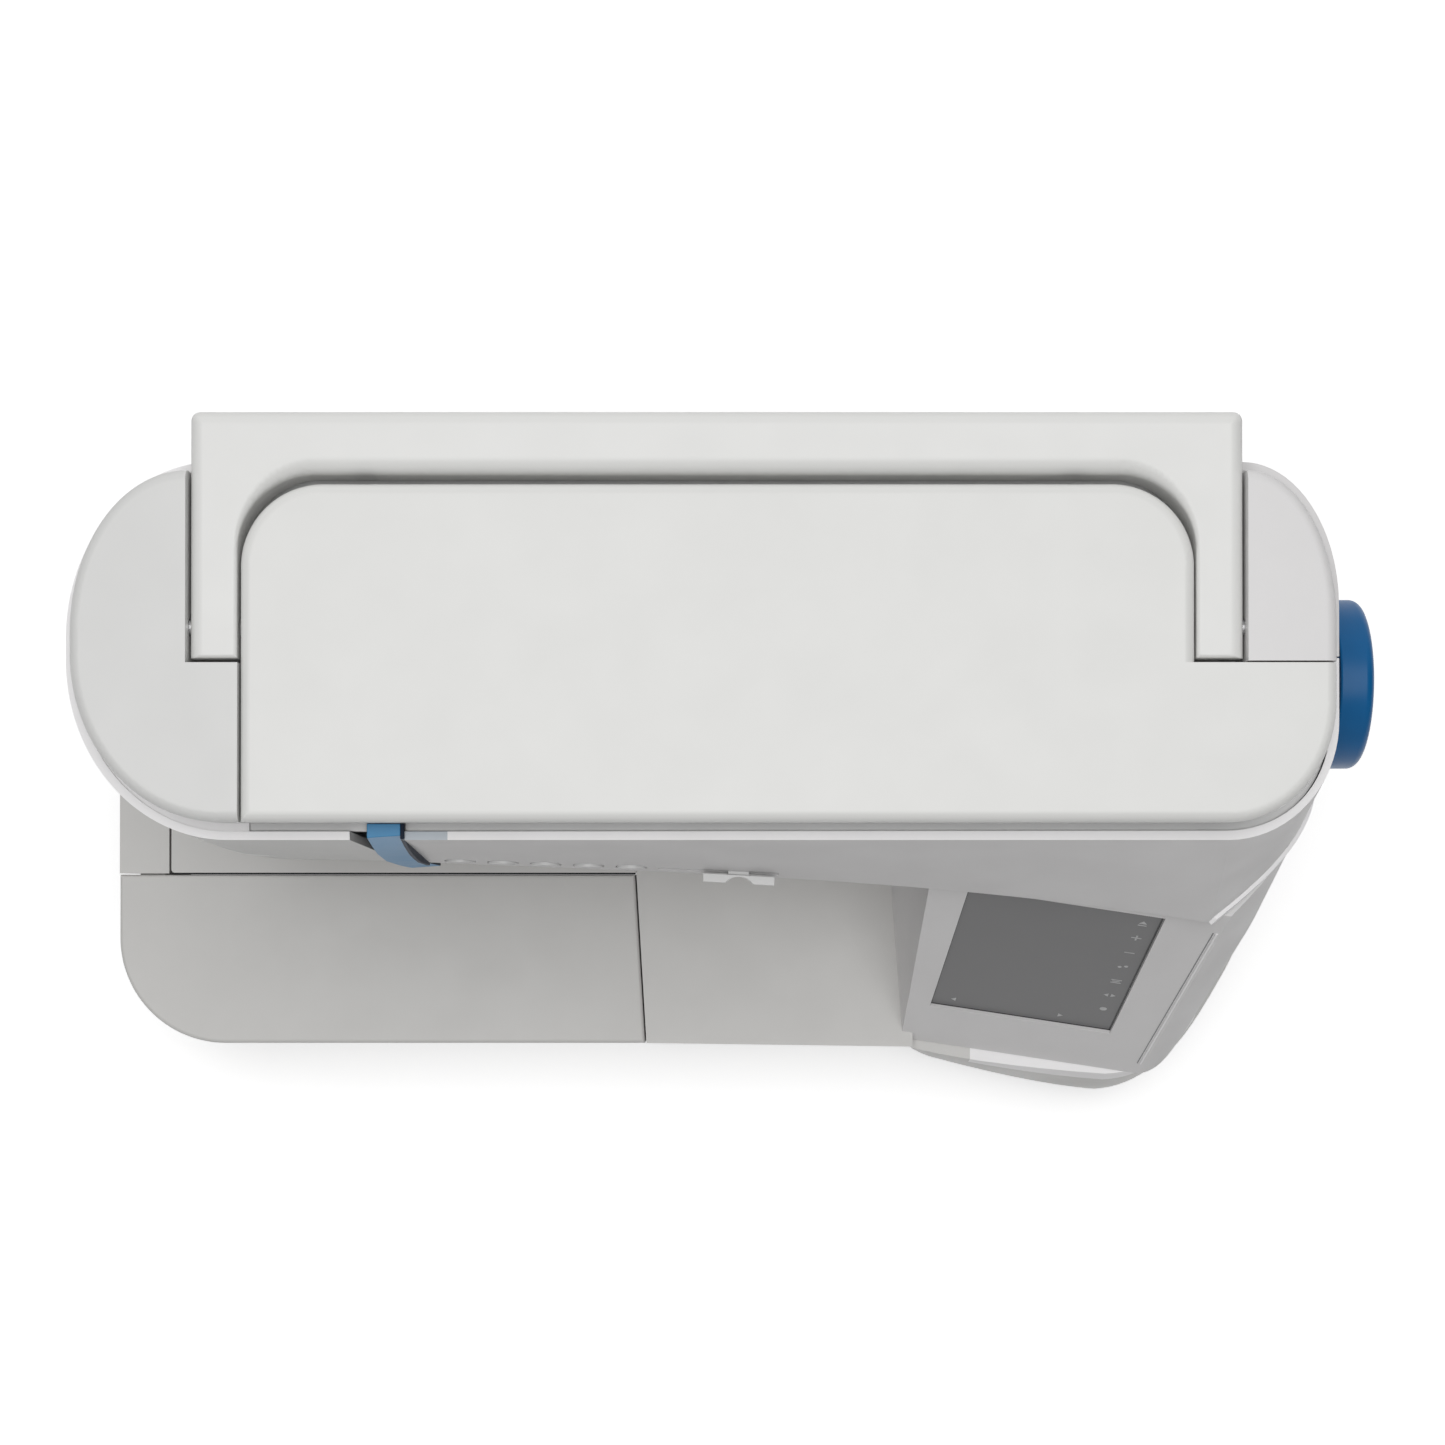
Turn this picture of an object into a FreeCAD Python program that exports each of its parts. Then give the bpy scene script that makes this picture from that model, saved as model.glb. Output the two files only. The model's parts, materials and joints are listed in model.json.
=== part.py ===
"""Free-arm sewing machine as a parametric FreeCAD document.

Frame: +X towards the handwheel, +Y to the rear, +Z up, origin on the table under the middle of the
machine's box. Millimetres. Driving dimensions live in the sheet "Dimensions"; each sub-part is one
document object whose Label is the name of its node.
"""
import FreeCAD
import Part
import math
import os
import re

Vec = FreeCAD.Vector
doc = FreeCAD.newDocument("SewingMachine")

# ---------------------------------------------------------------- dimensions
DIMENSIONS = {
    # overall
    "half_width": 245, "half_depth": 126.5, "total_height": 300,
    "bed_height": 75, "arm_under": 197, "lip_top": 278, "cap_base": 280,
    "wall": 3, "seam": 0.6,
    # arm and head shell
    "arm_left": -216.4, "arm_right_top": 226.5, "arm_right_low": 234, "arm_rear": 112,
    "arm_front_top": -19.6, "arm_front_low": -24.5, "ledge_front": -52, "ledge_right": 195.7,
    "head_under": 150, "head_right": -86, "head_rear": 92,
    "end_middle": 51, "head_front_left": -160, "end_front": 43, "split_plane": 44,
    "ribbon_left": -111.5, "ribbon_right": -99.8, "slot_left": -117.6,
    # top covers
    "plan_left": -210.4, "plan_right": 221.2, "plan_front": -13.8, "plan_rear": 106.2,
    "slot_front": 40.4, "left_slot_outer": -170.4, "left_slot_inner": -152.4,
    "right_slot_inner": 172.7, "right_slot_outer": 190.5, "lid_rear": 101.4, "lid_corner": 28,
    "cap_wall": 2.5,
    # carrying handle
    "handle_low": 281, "handle_top": 298.5, "handle_arm": 16.4, "handle_grip": 21.5,
    "handle_front": 42, "pivot_back": 53, "pivot_up": 291.5, "handle_pin_radius": 3,
    # lid hinge
    "lid_axis_back": 95, "lid_axis_up": 294.5, "lid_pin_radius": 1.5,
    # column, screen and base
    "column_left": 87, "column_front": -98.0, "panel_turn": -0.152, "panel_lean": 0.545,
    "bed_front": -103, "base_left": -24.7, "base_right": 240, "base_rear": 112,
    "foot_height": 69, "base_low": 8,
    "glass_width": 75, "glass_height": 104, "glass_thick": 1.6,
    # free arm and table
    "free_arm_left": -223, "free_arm_front": -30.4, "free_arm_rear": 71, "free_arm_low": 26,
    "table_seam": -31.2, "table_low": 4, "lid_low": 12, "lid_hinge_up": 13.5, "table_corner": 45,
    # shafts and needle line
    "shaft_back": 38.5, "shaft_up": 225, "lower_shaft_up": 38, "main_radius": 6, "lower_radius": 5,
    "fit": 0.05, "bush_wall": 2.5, "needle_across": -120, "presser_back": 51,
    "needle_bar_radius": 3.2, "presser_bar_radius": 3.5, "needle_tip_up": 91,
    "hook_back": 20.2, "handwheel_radius": 31, "handwheel_face": 232.6,
    "motor_back": 77.5, "motor_up": 110, "motor_radius": 22,
    "web_back": 46, "web_thick": 12,
    "button_radius": 5.5, "button_up": 211, "deck_low": 272.5, "deck_thick": 3, "ledge_low": 275.8,
}
sheet = doc.addObject("Spreadsheet::Sheet", "Dimensions")
for row, (alias, value) in enumerate(DIMENSIONS.items(), start=1):
    sheet.set(f"A{row}", alias)
    sheet.set(f"B{row}", str(value))
    sheet.setAlias(f"B{row}", alias)
doc.recompute()


def size(alias):
    """Value of one cell, for the shapes that are set in code."""
    return float(getattr(sheet, alias))


def linked(text):
    """An expression on the sheet: every alias gets the sheet's name."""
    return re.sub(r"[a-z]+(_[a-z]+)*", lambda word: "Dimensions." + word.group()
                  if word.group() in DIMENSIONS else word.group(), text)


def give(obj, **values):
    """Set properties: a string is an expression on the sheet, a number stays a number."""
    for name, value in values.items():
        path = name.replace("__", ".")
        if isinstance(value, str):
            obj.setExpression(path, linked(value))
        elif path.startswith("Placement.Base"):
            base = obj.Placement.Base
            setattr(base, path[-1], value)
            obj.Placement = FreeCAD.Placement(base, obj.Placement.Rotation)
        else:
            setattr(obj, path, value)
    return obj


# ---------------------------------------------------------------- building blocks
def box(name, low, high):
    """Box between two corners, each a triple of numbers or sheet expressions."""
    obj = doc.addObject("Part::Box", name)
    for axis, side, start, end in zip("xyz", ("Length", "Width", "Height"), low, high):
        give(obj, **{side: f"({end}) - ({start})", "Placement__Base__" + axis: f"{start}"})
    return obj


TURN = {"X": FreeCAD.Rotation(Vec(0, 1, 0), 90), "Y": FreeCAD.Rotation(Vec(1, 0, 0), -90),
        "Z": FreeCAD.Rotation()}


def rod(name, axis, start, radius, length, second_radius=None):
    """Cylinder, or cone with second_radius, that starts at a point and runs along +X, +Y or +Z."""
    kind = "Part::Cylinder" if second_radius is None else "Part::Cone"
    obj = doc.addObject(kind, name)
    obj.Placement = FreeCAD.Placement(Vec(), TURN[axis])
    for letter, place in zip("xyz", start):
        give(obj, **{"Placement__Base__" + letter: f"{place}"})
    if second_radius is None:
        return give(obj, Radius=f"{radius}", Height=f"{length}")
    return give(obj, Radius1=f"{radius}", Radius2=f"{second_radius}", Height=f"{length}")


def fuse(name, *pieces):
    obj = doc.addObject("Part::MultiFuse", name)
    obj.Shapes = list(pieces)
    return obj


def cut(name, base, *tools):
    obj = doc.addObject("Part::Cut", name)
    obj.Base = base
    obj.Tool = tools[0] if len(tools) == 1 else fuse(name + "_tools", *tools)
    return obj


def common(name, *pieces):
    obj = doc.addObject("Part::MultiCommon", name)
    obj.Shapes = list(pieces)
    return obj


def group(name, *pieces):
    """Separate solids that share one node."""
    obj = doc.addObject("Part::Compound", name)
    obj.Links = list(pieces)
    return obj


def moulded(name, shape):
    """A free-form solid, made with Part's own functions from the sheet's sizes."""
    obj = doc.addObject("Part::Feature", name)
    obj.Shape = shape
    return obj


def rounded(name, base, radius, chosen):
    """Fillet the edges for which chosen(edge) is true, or gives a pair of radii."""
    doc.recompute()
    obj = doc.addObject("Part::Fillet", name)
    obj.Base = base
    edges = [(i, chosen(edge)) for i, edge in enumerate(base.Shape.Edges, start=1)]
    obj.Edges = [(i, *(pick if isinstance(pick, tuple) else (radius, radius)))
                 for i, pick in edges if pick]
    return obj


def along(axis):
    """Choose straight edges that run along one axis."""
    direction = {"X": Vec(1, 0, 0), "Y": Vec(0, 1, 0), "Z": Vec(0, 0, 1)}[axis]

    def test(edge):
        ends = [v.Point for v in edge.Vertexes]
        return len(ends) == 2 and abs(abs((ends[1] - ends[0]).dot(direction)) - edge.Length) < 1e-6
    return test


def level(height):
    """Choose the edges that lie in one horizontal plane."""
    return lambda edge: all(abs(v.Point.z - height) < 1e-4 for v in edge.Vertexes)


def line(start, end):
    return Part.makeLine(start, end)


def curve(*poles):
    bezier = Part.BezierCurve()
    bezier.setPoles(list(poles))
    return bezier.toShape()


ROUND = 0.5523   # share of the way to the knee that makes a cubic curve a quarter ellipse


def corner(start, knee, end, pull=ROUND):
    return curve(start, start + (knee - start) * pull, end + (knee - end) * pull, end)


def ruled_solid(*rings):
    """Solid between closed rings of edges, one above the other."""
    return Part.makeLoft([Part.Wire(ring) for ring in rings], True, True)


def prism(ring, height):
    return Part.Face(Part.Wire(ring)).extrude(Vec(0, 0, height))


# ---------------------------------------------------------------- outlines
def arm_ring(height, inset=0.0):
    """Outline of the head and arm at a height: straight at the lip, bowed forward at the underside."""
    share = (size("lip_top") - height) / (size("lip_top") - size("arm_under"))

    def between(at_lip, at_underside):
        return at_lip + share * (at_underside - at_lip)

    def at(x, y):
        return Vec(x, y, height)

    middle = size("end_middle")
    left = size("arm_left") + inset
    right = between(size("arm_right_top"), size("arm_right_low")) - inset
    rear = size("arm_rear") - inset
    head = at(size("head_front_left"), between(size("arm_front_top"), size("arm_front_low")) + inset)
    ledge = at(between(188, size("ledge_right")) - 0.4 * inset,
               between(size("arm_front_top"), size("ledge_front")) + 1.1 * inset)
    third = (ledge.x - head.x) / 3
    side = at(right, between(22, -3))
    shoulder = size("end_front")
    return [
        corner(at(left, shoulder), at(left, head.y), head),
        curve(head, head + Vec(third, -0.055 * share * third, 0),
              ledge - Vec(third, -0.18 * share * third, 0), ledge),
        curve(ledge, ledge + Vec(between(21, 16), between(0, 14), 0),
              side - Vec(between(0, 1), between(23, 17), 0), side),
        line(side, at(right, middle + 11)),
        corner(at(right, middle + 11), at(right, rear), at(193, rear)),
        line(at(193, rear), at(-165, rear)),
        corner(at(-165, rear), at(left, rear), at(left, middle)),
        line(at(left, middle), at(left, shoulder)),
    ]


def head_ring(height, inset=0.0):
    """Outline of the part of the head that hangs below the arm, round the needle bar."""
    share = (size("arm_under") - height) / (size("arm_under") - size("head_under"))

    def at(x, y):
        return Vec(x, y, height)

    middle, shoulder, turn = size("end_middle"), size("end_front"), size("head_front_left")
    left = size("arm_left") + 2 * share + inset
    right = size("head_right") - 7 * share - inset
    front = size("arm_front_low") - 0.8 * share + inset
    rear = size("head_rear") - inset
    return [
        corner(at(left, shoulder), at(left, front), at(turn, front)),
        line(at(turn, front), at(right - 12, front - 1)),
        corner(at(right - 12, front - 1), at(right, front - 1), at(right, front + 20)),
        line(at(right, front + 20), at(right, rear - 14)),
        corner(at(right, rear - 14), at(right, rear), at(right - 14, rear)),
        line(at(right - 14, rear), at(-170, rear)),
        corner(at(-170, rear), at(left, rear), at(left, middle)),
        line(at(left, middle), at(left, shoulder)),
    ]


def plan_ring(height, inset=0.0):
    """Outline of the flat top: lid, face cover and rear corner together."""
    def at(x, y):
        return Vec(x, y, height)

    left, right = size("plan_left") + inset, size("plan_right") - inset
    front, rear = size("plan_front") + inset, size("plan_rear") - inset
    middle = size("end_middle")
    outer, inner = size("left_slot_outer"), size("left_slot_inner")
    return [
        corner(at(left, middle - 7), at(left, front), at(inner - 6.5, front)),
        line(at(inner - 6.5, front), at(184.6, front)),
        corner(at(184.6, front), at(right, front), at(right, 27.6)),
        line(at(right, 27.6), at(right, 54.6)),
        corner(at(right, 54.6), at(right, rear), at(size("right_slot_outer"), rear)),
        line(at(size("right_slot_outer"), rear), at(outer, rear)),
        corner(at(outer, rear), at(left, rear), at(left, middle)),
        line(at(left, middle), at(left, middle - 7)),
    ]


def panel_front(across, height):
    """Y of the leaning screen panel."""
    return (size("column_front") + (across - 89) * size("panel_turn")
            + (height - size("bed_height")) * size("panel_lean"))


def column_ring(height, inset=0.0):
    """Outline of the column: leaning, turned front panel, rounded right-hand corner."""
    share = (height - size("bed_height")) / (190 - size("bed_height"))

    def at(x, y):
        return Vec(x, y, height)

    front_left = size("column_left") + 1.6 + 2.4 * share + inset
    rear_left = size("column_left") - 3 + 7 * share + inset
    front_right = 190.5 + 12.5 * share - 0.4 * inset
    right = 233.5 + 0.5 * share - inset
    rear = size("arm_rear") - inset
    front_left_point = at(front_left, panel_front(front_left, height) + 1.15 * inset)
    front_right_point = at(front_right, panel_front(front_right, height) + 1.15 * inset)
    waist = at(rear_left, -37 + 30 * share)
    side = at(right, -57 + 50 * share)
    bulge = max(0.0, 1 - 2.04 * share)
    return [
        line(at(rear_left, rear), waist),
        line(waist, front_left_point),
        line(front_left_point, front_right_point),
        curve(front_right_point, front_right_point + Vec(12.5 - 5 * share, 1.5 + 5.5 * share, 0),
              side - Vec(5 + 19 * bulge, 21 + 19 * bulge, 0), side),
        line(side, at(right, rear - 50)),
        corner(at(right, rear - 50), at(right, rear), at(right - 41, rear)),
        line(at(right - 41, rear), at(rear_left, rear)),
    ]


def base_ring(height, inset=0.0):
    """Outline of the base: straight bed front, then the rounded foot under the screen."""
    def at(x, y):
        return Vec(x, y, height)

    left, right, rear = size("base_left") + inset, size("base_right") - inset, size("base_rear") - inset
    front = size("bed_front") + inset
    share = foot_share(height)
    foot = -size("half_depth") + inset + 10 * share
    nudge = 0.7 * inset + 5.4 * share
    start = at(92, front - 1.5)
    cheek = at(103.5, -111.7 + inset + 4 * share)
    toe = at(176, foot)
    heel = at(222 - nudge, -93 + nudge)
    side = at(right - 3.6 * share, -45)
    return [
        line(at(left, rear), at(left, size("table_seam"))),
        line(at(left, size("table_seam")), at(left + 4.3, front)),
        line(at(left + 4.3, front), start),
        curve(start, at(95, start.y - 4 + 2 * share), cheek - Vec(3, -1, 0), cheek),
        curve(cheek, cheek + Vec(24.5, -6.8 + 2 * share, 0), toe - Vec(21, -1.5, 0), toe),
        curve(toe, toe + Vec(19, 1, 0), heel - Vec(12, 19, 0), heel),
        curve(heel, heel + Vec(10, 16, 0), side - Vec(1, 17, 0), side),
        line(side, at(side.x, rear - 20)),
        corner(at(side.x, rear - 20), at(side.x, rear), at(side.x - 20, rear)),
        line(at(side.x - 20, rear), at(left, rear)),
    ]


FOOT_LEVELS = (8, 22, 36, 48, 58, 65, 69)


def foot_share(height):
    """How far the foot has drawn in at a height: nothing low down, all of it at its top."""
    return min(max((height - 22) / (FOOT_LEVELS[-1] - 22), 0.0), 1.0) ** 2


nodes = {}


def node(name, obj):
    """Register a finished sub-part under the name of its node."""
    obj.Label = name
    nodes[name] = obj
    return obj


EVERYWHERE = 400   # half side of a box that reaches past the machine


def region(name, low, high):
    """Box for cutting: None means past the machine on that side."""
    low = [-EVERYWHERE if value is None else value for value in low]
    high = [EVERYWHERE if value is None else value for value in high]
    return box(name, low, high)


# ---------------------------------------------------------------- upper shells
def upper_shells():
    """Face cover, front cover, rear cover: one hollow skin, divided at the mould seams."""
    wall = size("wall")
    under, lip, foot = size("arm_under"), size("lip_top"), size("foot_height")
    arm = moulded("arm_outer", ruled_solid(arm_ring(under), arm_ring(lip)))
    arm_soft = rounded("arm_softened", arm, 5, level(under))
    column = moulded("column_outer", ruled_solid(
        column_ring(foot + 0.4), column_ring(130), column_ring(200)))
    head_low = size("head_under")
    head = moulded("head_outer", ruled_solid(head_ring(head_low), head_ring(under + 6)))
    head = rounded("head_softened", head, 5, level(head_low))
    outer = fuse("upper_outer", arm_soft, column, head)
    arm_hollow = moulded("arm_hollow", ruled_solid(arm_ring(under + wall, wall),
                                                   arm_ring(lip + 1, wall)))
    column_hollow = moulded("column_hollow", ruled_solid(
        column_ring(foot - 1, wall), column_ring(130, wall), column_ring(201, wall)))
    head_hollow = moulded("head_hollow", ruled_solid(head_ring(head_low + wall, wall),
                                                     head_ring(under + wall + 1, wall)))
    hollow = fuse("upper_hollow", arm_hollow, column_hollow, head_hollow)
    needle_window = box("needle_window", (-149, 18, 140), (-101, 68, 160))
    lamp_window = box("lamp_window", (-76.3, 27.7, 190), (-55.7, 42.3, 204))
    lifter_way = rod("lifter_way", "Y", (-104, 80, 178), 2.7, 20)
    wheel_recess = rod("wheel_recess", "X", ("handwheel_face - 0.5", "shaft_back", "shaft_up"),
                       "handwheel_radius + 1.5", 20)
    slot_left, slot_right = size("slot_left"), size("ribbon_left") - 0.4
    knees = [Vec(slot_left, -34, 285), Vec(slot_left, -34, 278), Vec(slot_right, -34, 225),
             Vec(slot_right + 3, -34, 225), Vec(slot_right + 3, -34, 285)]
    take_up_slot = moulded("take_up_slot", Part.Face(Part.Wire(
        [line(a, b) for a, b in zip(knees, knees[1:] + knees[:1])])).extrude(Vec(0, 26, 0)))
    shaft_hole = rod("shaft_hole", "X", (215, "shaft_back", "shaft_up"), "main_radius + 1", 30)
    slider_slot = box("slider_slot", (-12, -45, 208), (33, -20, 212.5))
    buttons = [rod(f"button_hole_{i}", "Y", (x, -45, "button_up"), "button_radius + 0.4", 35)
               for i, x in enumerate(BUTTON_PLACES)]
    glass_hole = moulded("glass_hole", panel_block(size("glass_width") + 0.8,
                                                   size("glass_height") + 0.8, -4, 4))
    skin = cut("upper_skin", outer, hollow, needle_window, lamp_window, lifter_way, take_up_slot,
               shaft_hole, wheel_recess, slider_slot, glass_hole, *buttons)
    face_low = common("face_low", skin, fuse(
        "face_zone", region("face_zone_front", (None, None, None), ("ribbon_left - 0.4", "split_plane", 300)),
        region("face_zone_rear", (None, "split_plane - 0.1", None), (-150.3, None, 300))))
    front = common("front_skin", skin, region("front_zone", ("ribbon_right + 0.5", None, None),
                                              (None, "split_plane - seam / 2", None)))
    rear_low = common("rear_low", skin, region("rear_zone", (-149.7, "split_plane + seam / 2", None),
                                               (None, None, None)))
    node("front_cover", front)
    return face_low, rear_low


BUTTON_PLACES = (-86, -70, -54, -38, -22)
BUTTON_REAR = -16.3
SCREEN_MIDDLE = (139.6, 145.6)   # across, up: centre of the glass on the panel


def panel_block(width, height, depth_from, depth_to):
    """Block square to the screen panel, centred on the glass; depth counts into the column."""
    lean = math.atan(size("panel_lean"))
    turn = math.atan(size("panel_turn"))
    across, up = SCREEN_MIDDLE
    block = Part.makeBox(width, depth_to - depth_from, height, Vec(-width / 2, depth_from, -height / 2))
    place = FreeCAD.Placement(Vec(across, panel_front(across, up), up),
                              FreeCAD.Rotation(Vec(0, 0, 1), math.degrees(turn))
                              * FreeCAD.Rotation(Vec(1, 0, 0), -math.degrees(lean)))
    block.Placement = place
    return block


def top_caps(face_low, rear_low):
    """Flat top: face-cover cap, lid, fixed rear corner. They share one rounded block."""
    base, top = size("cap_base"), size("total_height")
    block = moulded("cap_block", prism(plan_ring(base), top - base))
    block = rounded("cap_softened", block, 4, level(top))
    thick = size("cap_wall")
    hollow = moulded("cap_hollow", prism(plan_ring(base - 1, thick), top - base + 1 - thick))
    # face cover: everything left of the seam and of the handle slot
    zone = fuse("face_cap_zone",
                region("cap_left_front", (None, None, 279), ("left_slot_inner - seam / 2", "slot_front", 301)),
                region("cap_left_rear", (None, "slot_front - 1", 279), ("left_slot_outer", None, 301)))
    inner = fuse("face_cap_inner",
                 region("cap_left_front_in", (None, None, 278),
                        ("left_slot_inner - seam / 2 - cap_wall", "slot_front - cap_wall", 301)),
                 region("cap_left_rear_in", (None, 30, 278), ("left_slot_outer - cap_wall", None, 301)))
    cap = cut("face_cap", common("face_cap_solid", block, zone), common("face_cap_void", hollow, inner))
    neck = ring_neck("face_neck")
    pin_way = rod("left_pin_way", "X", (-180, "pivot_back", "pivot_up"), "handle_pin_radius + 0.2", 12)
    face_neck = common("face_neck_part", neck, region(
        "face_neck_zone", (None, None, 270), ("left_slot_outer - 1", None, 281)))
    face_front_neck = common("face_neck_front", neck, region(
        "face_neck_zone_front", ("left_slot_outer - 2", None, 270),
        ("left_slot_inner - seam / 2", 10, 281)))
    node("face_cover", cut("face_whole", fuse("face_joined", face_low, cap, face_neck,
                                              face_front_neck, *cutter_pieces()), pin_way))
    # fixed corner behind the lid, part of the rear cover
    zone = region("cap_right", ("right_slot_outer", "slot_front + seam", 279), (None, None, 301))
    inner = region("cap_right_in", ("right_slot_outer + cap_wall", "slot_front + seam + cap_wall", 278),
                   (None, None, 301))
    cap = cut("rear_cap", common("rear_cap_solid", block, zone), common("rear_cap_void", hollow, inner))
    pin_way = rod("right_pin_way", "X", (189, "pivot_back", "pivot_up"), "handle_pin_radius + 0.2", 12)
    neck_right = common("rear_neck_part", ring_neck("rear_neck"), region(
        "rear_neck_zone", ("right_slot_outer + 1", "split_plane + seam / 2", 270), (None, None, 281)))
    holes = [rod(f"rear_screw_way_{i}", "Y", (x, 100, z), 2.2, 20) for i, (x, z) in
             enumerate(REAR_SCREWS)]
    heads = [rod(f"rear_head_way_{i}", "Y", (x, 110, z), 4.3, 20) for i, (x, z) in
             enumerate(REAR_SCREWS)]
    node("rear_cover", cut("rear_whole", fuse("rear_joined", rear_low, cap, neck_right),
                           pin_way, *holes, *heads))
    return block, hollow


REAR_SCREWS = ((-130, 215), (20, 262), (176, 262), (104, 90), (182, 90))


def ring_neck(name):
    """Thin ledge that joins a cap to the wall below it, just inside both."""
    low, high = size("ledge_low"), size("cap_base") + 0.5
    outer = prism(plan_ring(low, 0.4), high - low)
    inner = prism(plan_ring(low - 1, 2.4), high - low + 2)
    ledge = ruled_solid(arm_ring(low, 2.5), arm_ring(low + 1.2, 2.5)).cut(
        prism(plan_ring(low - 1, 2.4), 5))
    return moulded(name, outer.cut(inner).fuse(ledge))


def cutter_pieces():
    """Thread cutter housing moulded on the left end of the face cover."""
    return (box("cutter_block", (-217.5, 40, 214), (-212.5, 62, 226)),
            box("cutter_hook", (-219.5, 42, 214), (-217, 46, 226)))


def lid(block, hollow):
    """Hinged top lid with two ears for the hinge pins."""
    gap = size("seam") / 2
    front = size("slot_front")

    def outline(inset, height):
        left, right = size("left_slot_inner") + inset + gap, size("right_slot_inner") - inset
        rear, r = size("lid_rear") - inset, size("lid_corner") - inset
        step = front - inset

        def at(x, y):
            return Vec(x, y, height)
        return [
            line(at(left, -60), at(left, rear - r)),
            corner(at(left, rear - r), at(left, rear), at(left + r, rear)),
            line(at(left + r, rear), at(right - r, rear)),
            corner(at(right - r, rear), at(right, rear), at(right, rear - r)),
            line(at(right, rear - r), at(right, step)),
            line(at(right, step), at(260, step)),
            line(at(260, step), at(260, -60)),
            line(at(260, -60), at(left, -60)),
        ]
    low, top = size("cap_base") + 1, size("total_height")
    zone = moulded("lid_zone", prism(outline(0, low), top - low))
    rim = rounded("lid_zone_softened", zone, 4, lambda edge: level(top)(edge)
                  and max(v.Point.y for v in edge.Vertexes) > size("lid_rear") - size("lid_corner") + 1)
    inner = moulded("lid_zone_inner", prism(outline(size("cap_wall"), low - 1),
                                            top - low + 1 - size("cap_wall")))
    shell = cut("lid_shell", common("lid_solid", block, rim), common("lid_void", hollow, inner))
    ears, bores, notches = [], [], []
    for side, x in (("left", -120), ("right", 136)):
        ears.append(box(f"lid_ear_{side}", (x, "lid_axis_back - 3", "lid_axis_up - 3"),
                        (x + 6, "lid_axis_back + 3", 298)))
        bores.append(rod(f"lid_bore_{side}", "X", (x - 1, "lid_axis_back", "lid_axis_up"),
                         "lid_pin_radius + fit", 8))
        start = x + 6.5 if side == "left" else x - 6.5
        notches.append(box(f"lid_notch_{side}", (start, 96, 270), (start + 6, 103, 297.2)))
    node("top_lid", cut("lid_whole", fuse("lid_joined", shell, *ears), *bores, *notches))


def handle():
    """U-shaped carrying handle, drawn folded flat to the rear."""
    low, top = size("handle_low"), size("handle_top")
    left, right = size("left_slot_outer") + 0.8, size("right_slot_outer") - 0.8
    front, rear = size("handle_front"), size("half_depth")
    arm, inner_rear, r = size("handle_arm"), size("half_depth") - size("handle_grip"), 26

    def at(x, y):
        return Vec(x, y, low)
    ring = [
        line(at(left, front), at(left, rear - 3)),
        corner(at(left, rear - 3), at(left, rear), at(left + 3, rear)),
        line(at(left + 3, rear), at(right - 3, rear)),
        corner(at(right - 3, rear), at(right, rear), at(right, rear - 3)),
        line(at(right, rear - 3), at(right, front)),
        line(at(right, front), at(right - arm, front)),
        line(at(right - arm, front), at(right - arm, inner_rear - r)),
        corner(at(right - arm, inner_rear - r), at(right - arm, inner_rear),
               at(right - arm - r, inner_rear)),
        line(at(right - arm - r, inner_rear), at(left + arm + r, inner_rear)),
        corner(at(left + arm + r, inner_rear), at(left + arm, inner_rear),
               at(left + arm, inner_rear - r)),
        line(at(left + arm, inner_rear - r), at(left + arm, front)),
        line(at(left + arm, front), at(left, front)),
    ]
    solid = moulded("handle_solid", prism(ring, top - low))

    def bottom_front(edge):
        return level(low)(edge) and all(abs(v.Point.y - front) < 1e-4 for v in edge.Vertexes)

    solid = rounded("handle_toes", solid, 5.5, bottom_front)

    def upper_edges(edge):
        """Nose, rear and inner edges of the upper face, each with its radii."""
        if not level(top)(edge):
            return False
        ends = [v.Point for v in edge.Vertexes]
        across = max(abs(p.x - (left + right) / 2) for p in ends)
        if all(abs(p.y - front) < 1e-4 for p in ends):
            return 1.6, 1.6
        if edge.Length > 250:
            return (5, 5) if ends[0].y > rear - 1 else (6, 6)
        if across < (right - left) / 2 - arm + 0.1 and max(p.y for p in ends) > inner_rear - 0.1:
            return (6, 1.6) if ends[0].y > ends[1].y else (1.6, 6)
        return across < (right - left) / 2 - arm + 0.1 and (1.6, 1.6)
    solid = rounded("handle_soft", solid, 1, upper_edges)
    bores = [rod(f"handle_bore_{i}", "X", (x, "pivot_back", "pivot_up"),
                 "handle_pin_radius + fit", 20) for i, x in enumerate((-171, 172))]
    node("carry_handle", cut("handle_whole", solid, *bores))
    pins = [rod("handle_pin_left", "X", (-178, "pivot_back", "pivot_up"), "handle_pin_radius", 24),
            rod("handle_pin_right", "X", (174.4, "pivot_back", "pivot_up"), "handle_pin_radius", 23.8)]
    return pins


def handle_posts():
    """Bored posts of the deck that carry the handle pins."""
    left = cut("handle_bracket_left", box("bracket_left", (-181, 45, "deck_low + 1"), (-173.3, 61, 296)),
               rod("bracket_left_bore", "X", (-182, "pivot_back", "pivot_up"), "handle_pin_radius", 10))
    right = cut("handle_bracket_right", box("bracket_right", (193.4, 47.5, "deck_low + 1"), (201, 61, 296)),
                rod("bracket_right_bore", "X", (192, "pivot_back", "pivot_up"), "handle_pin_radius", 10))
    return left, right


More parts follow.
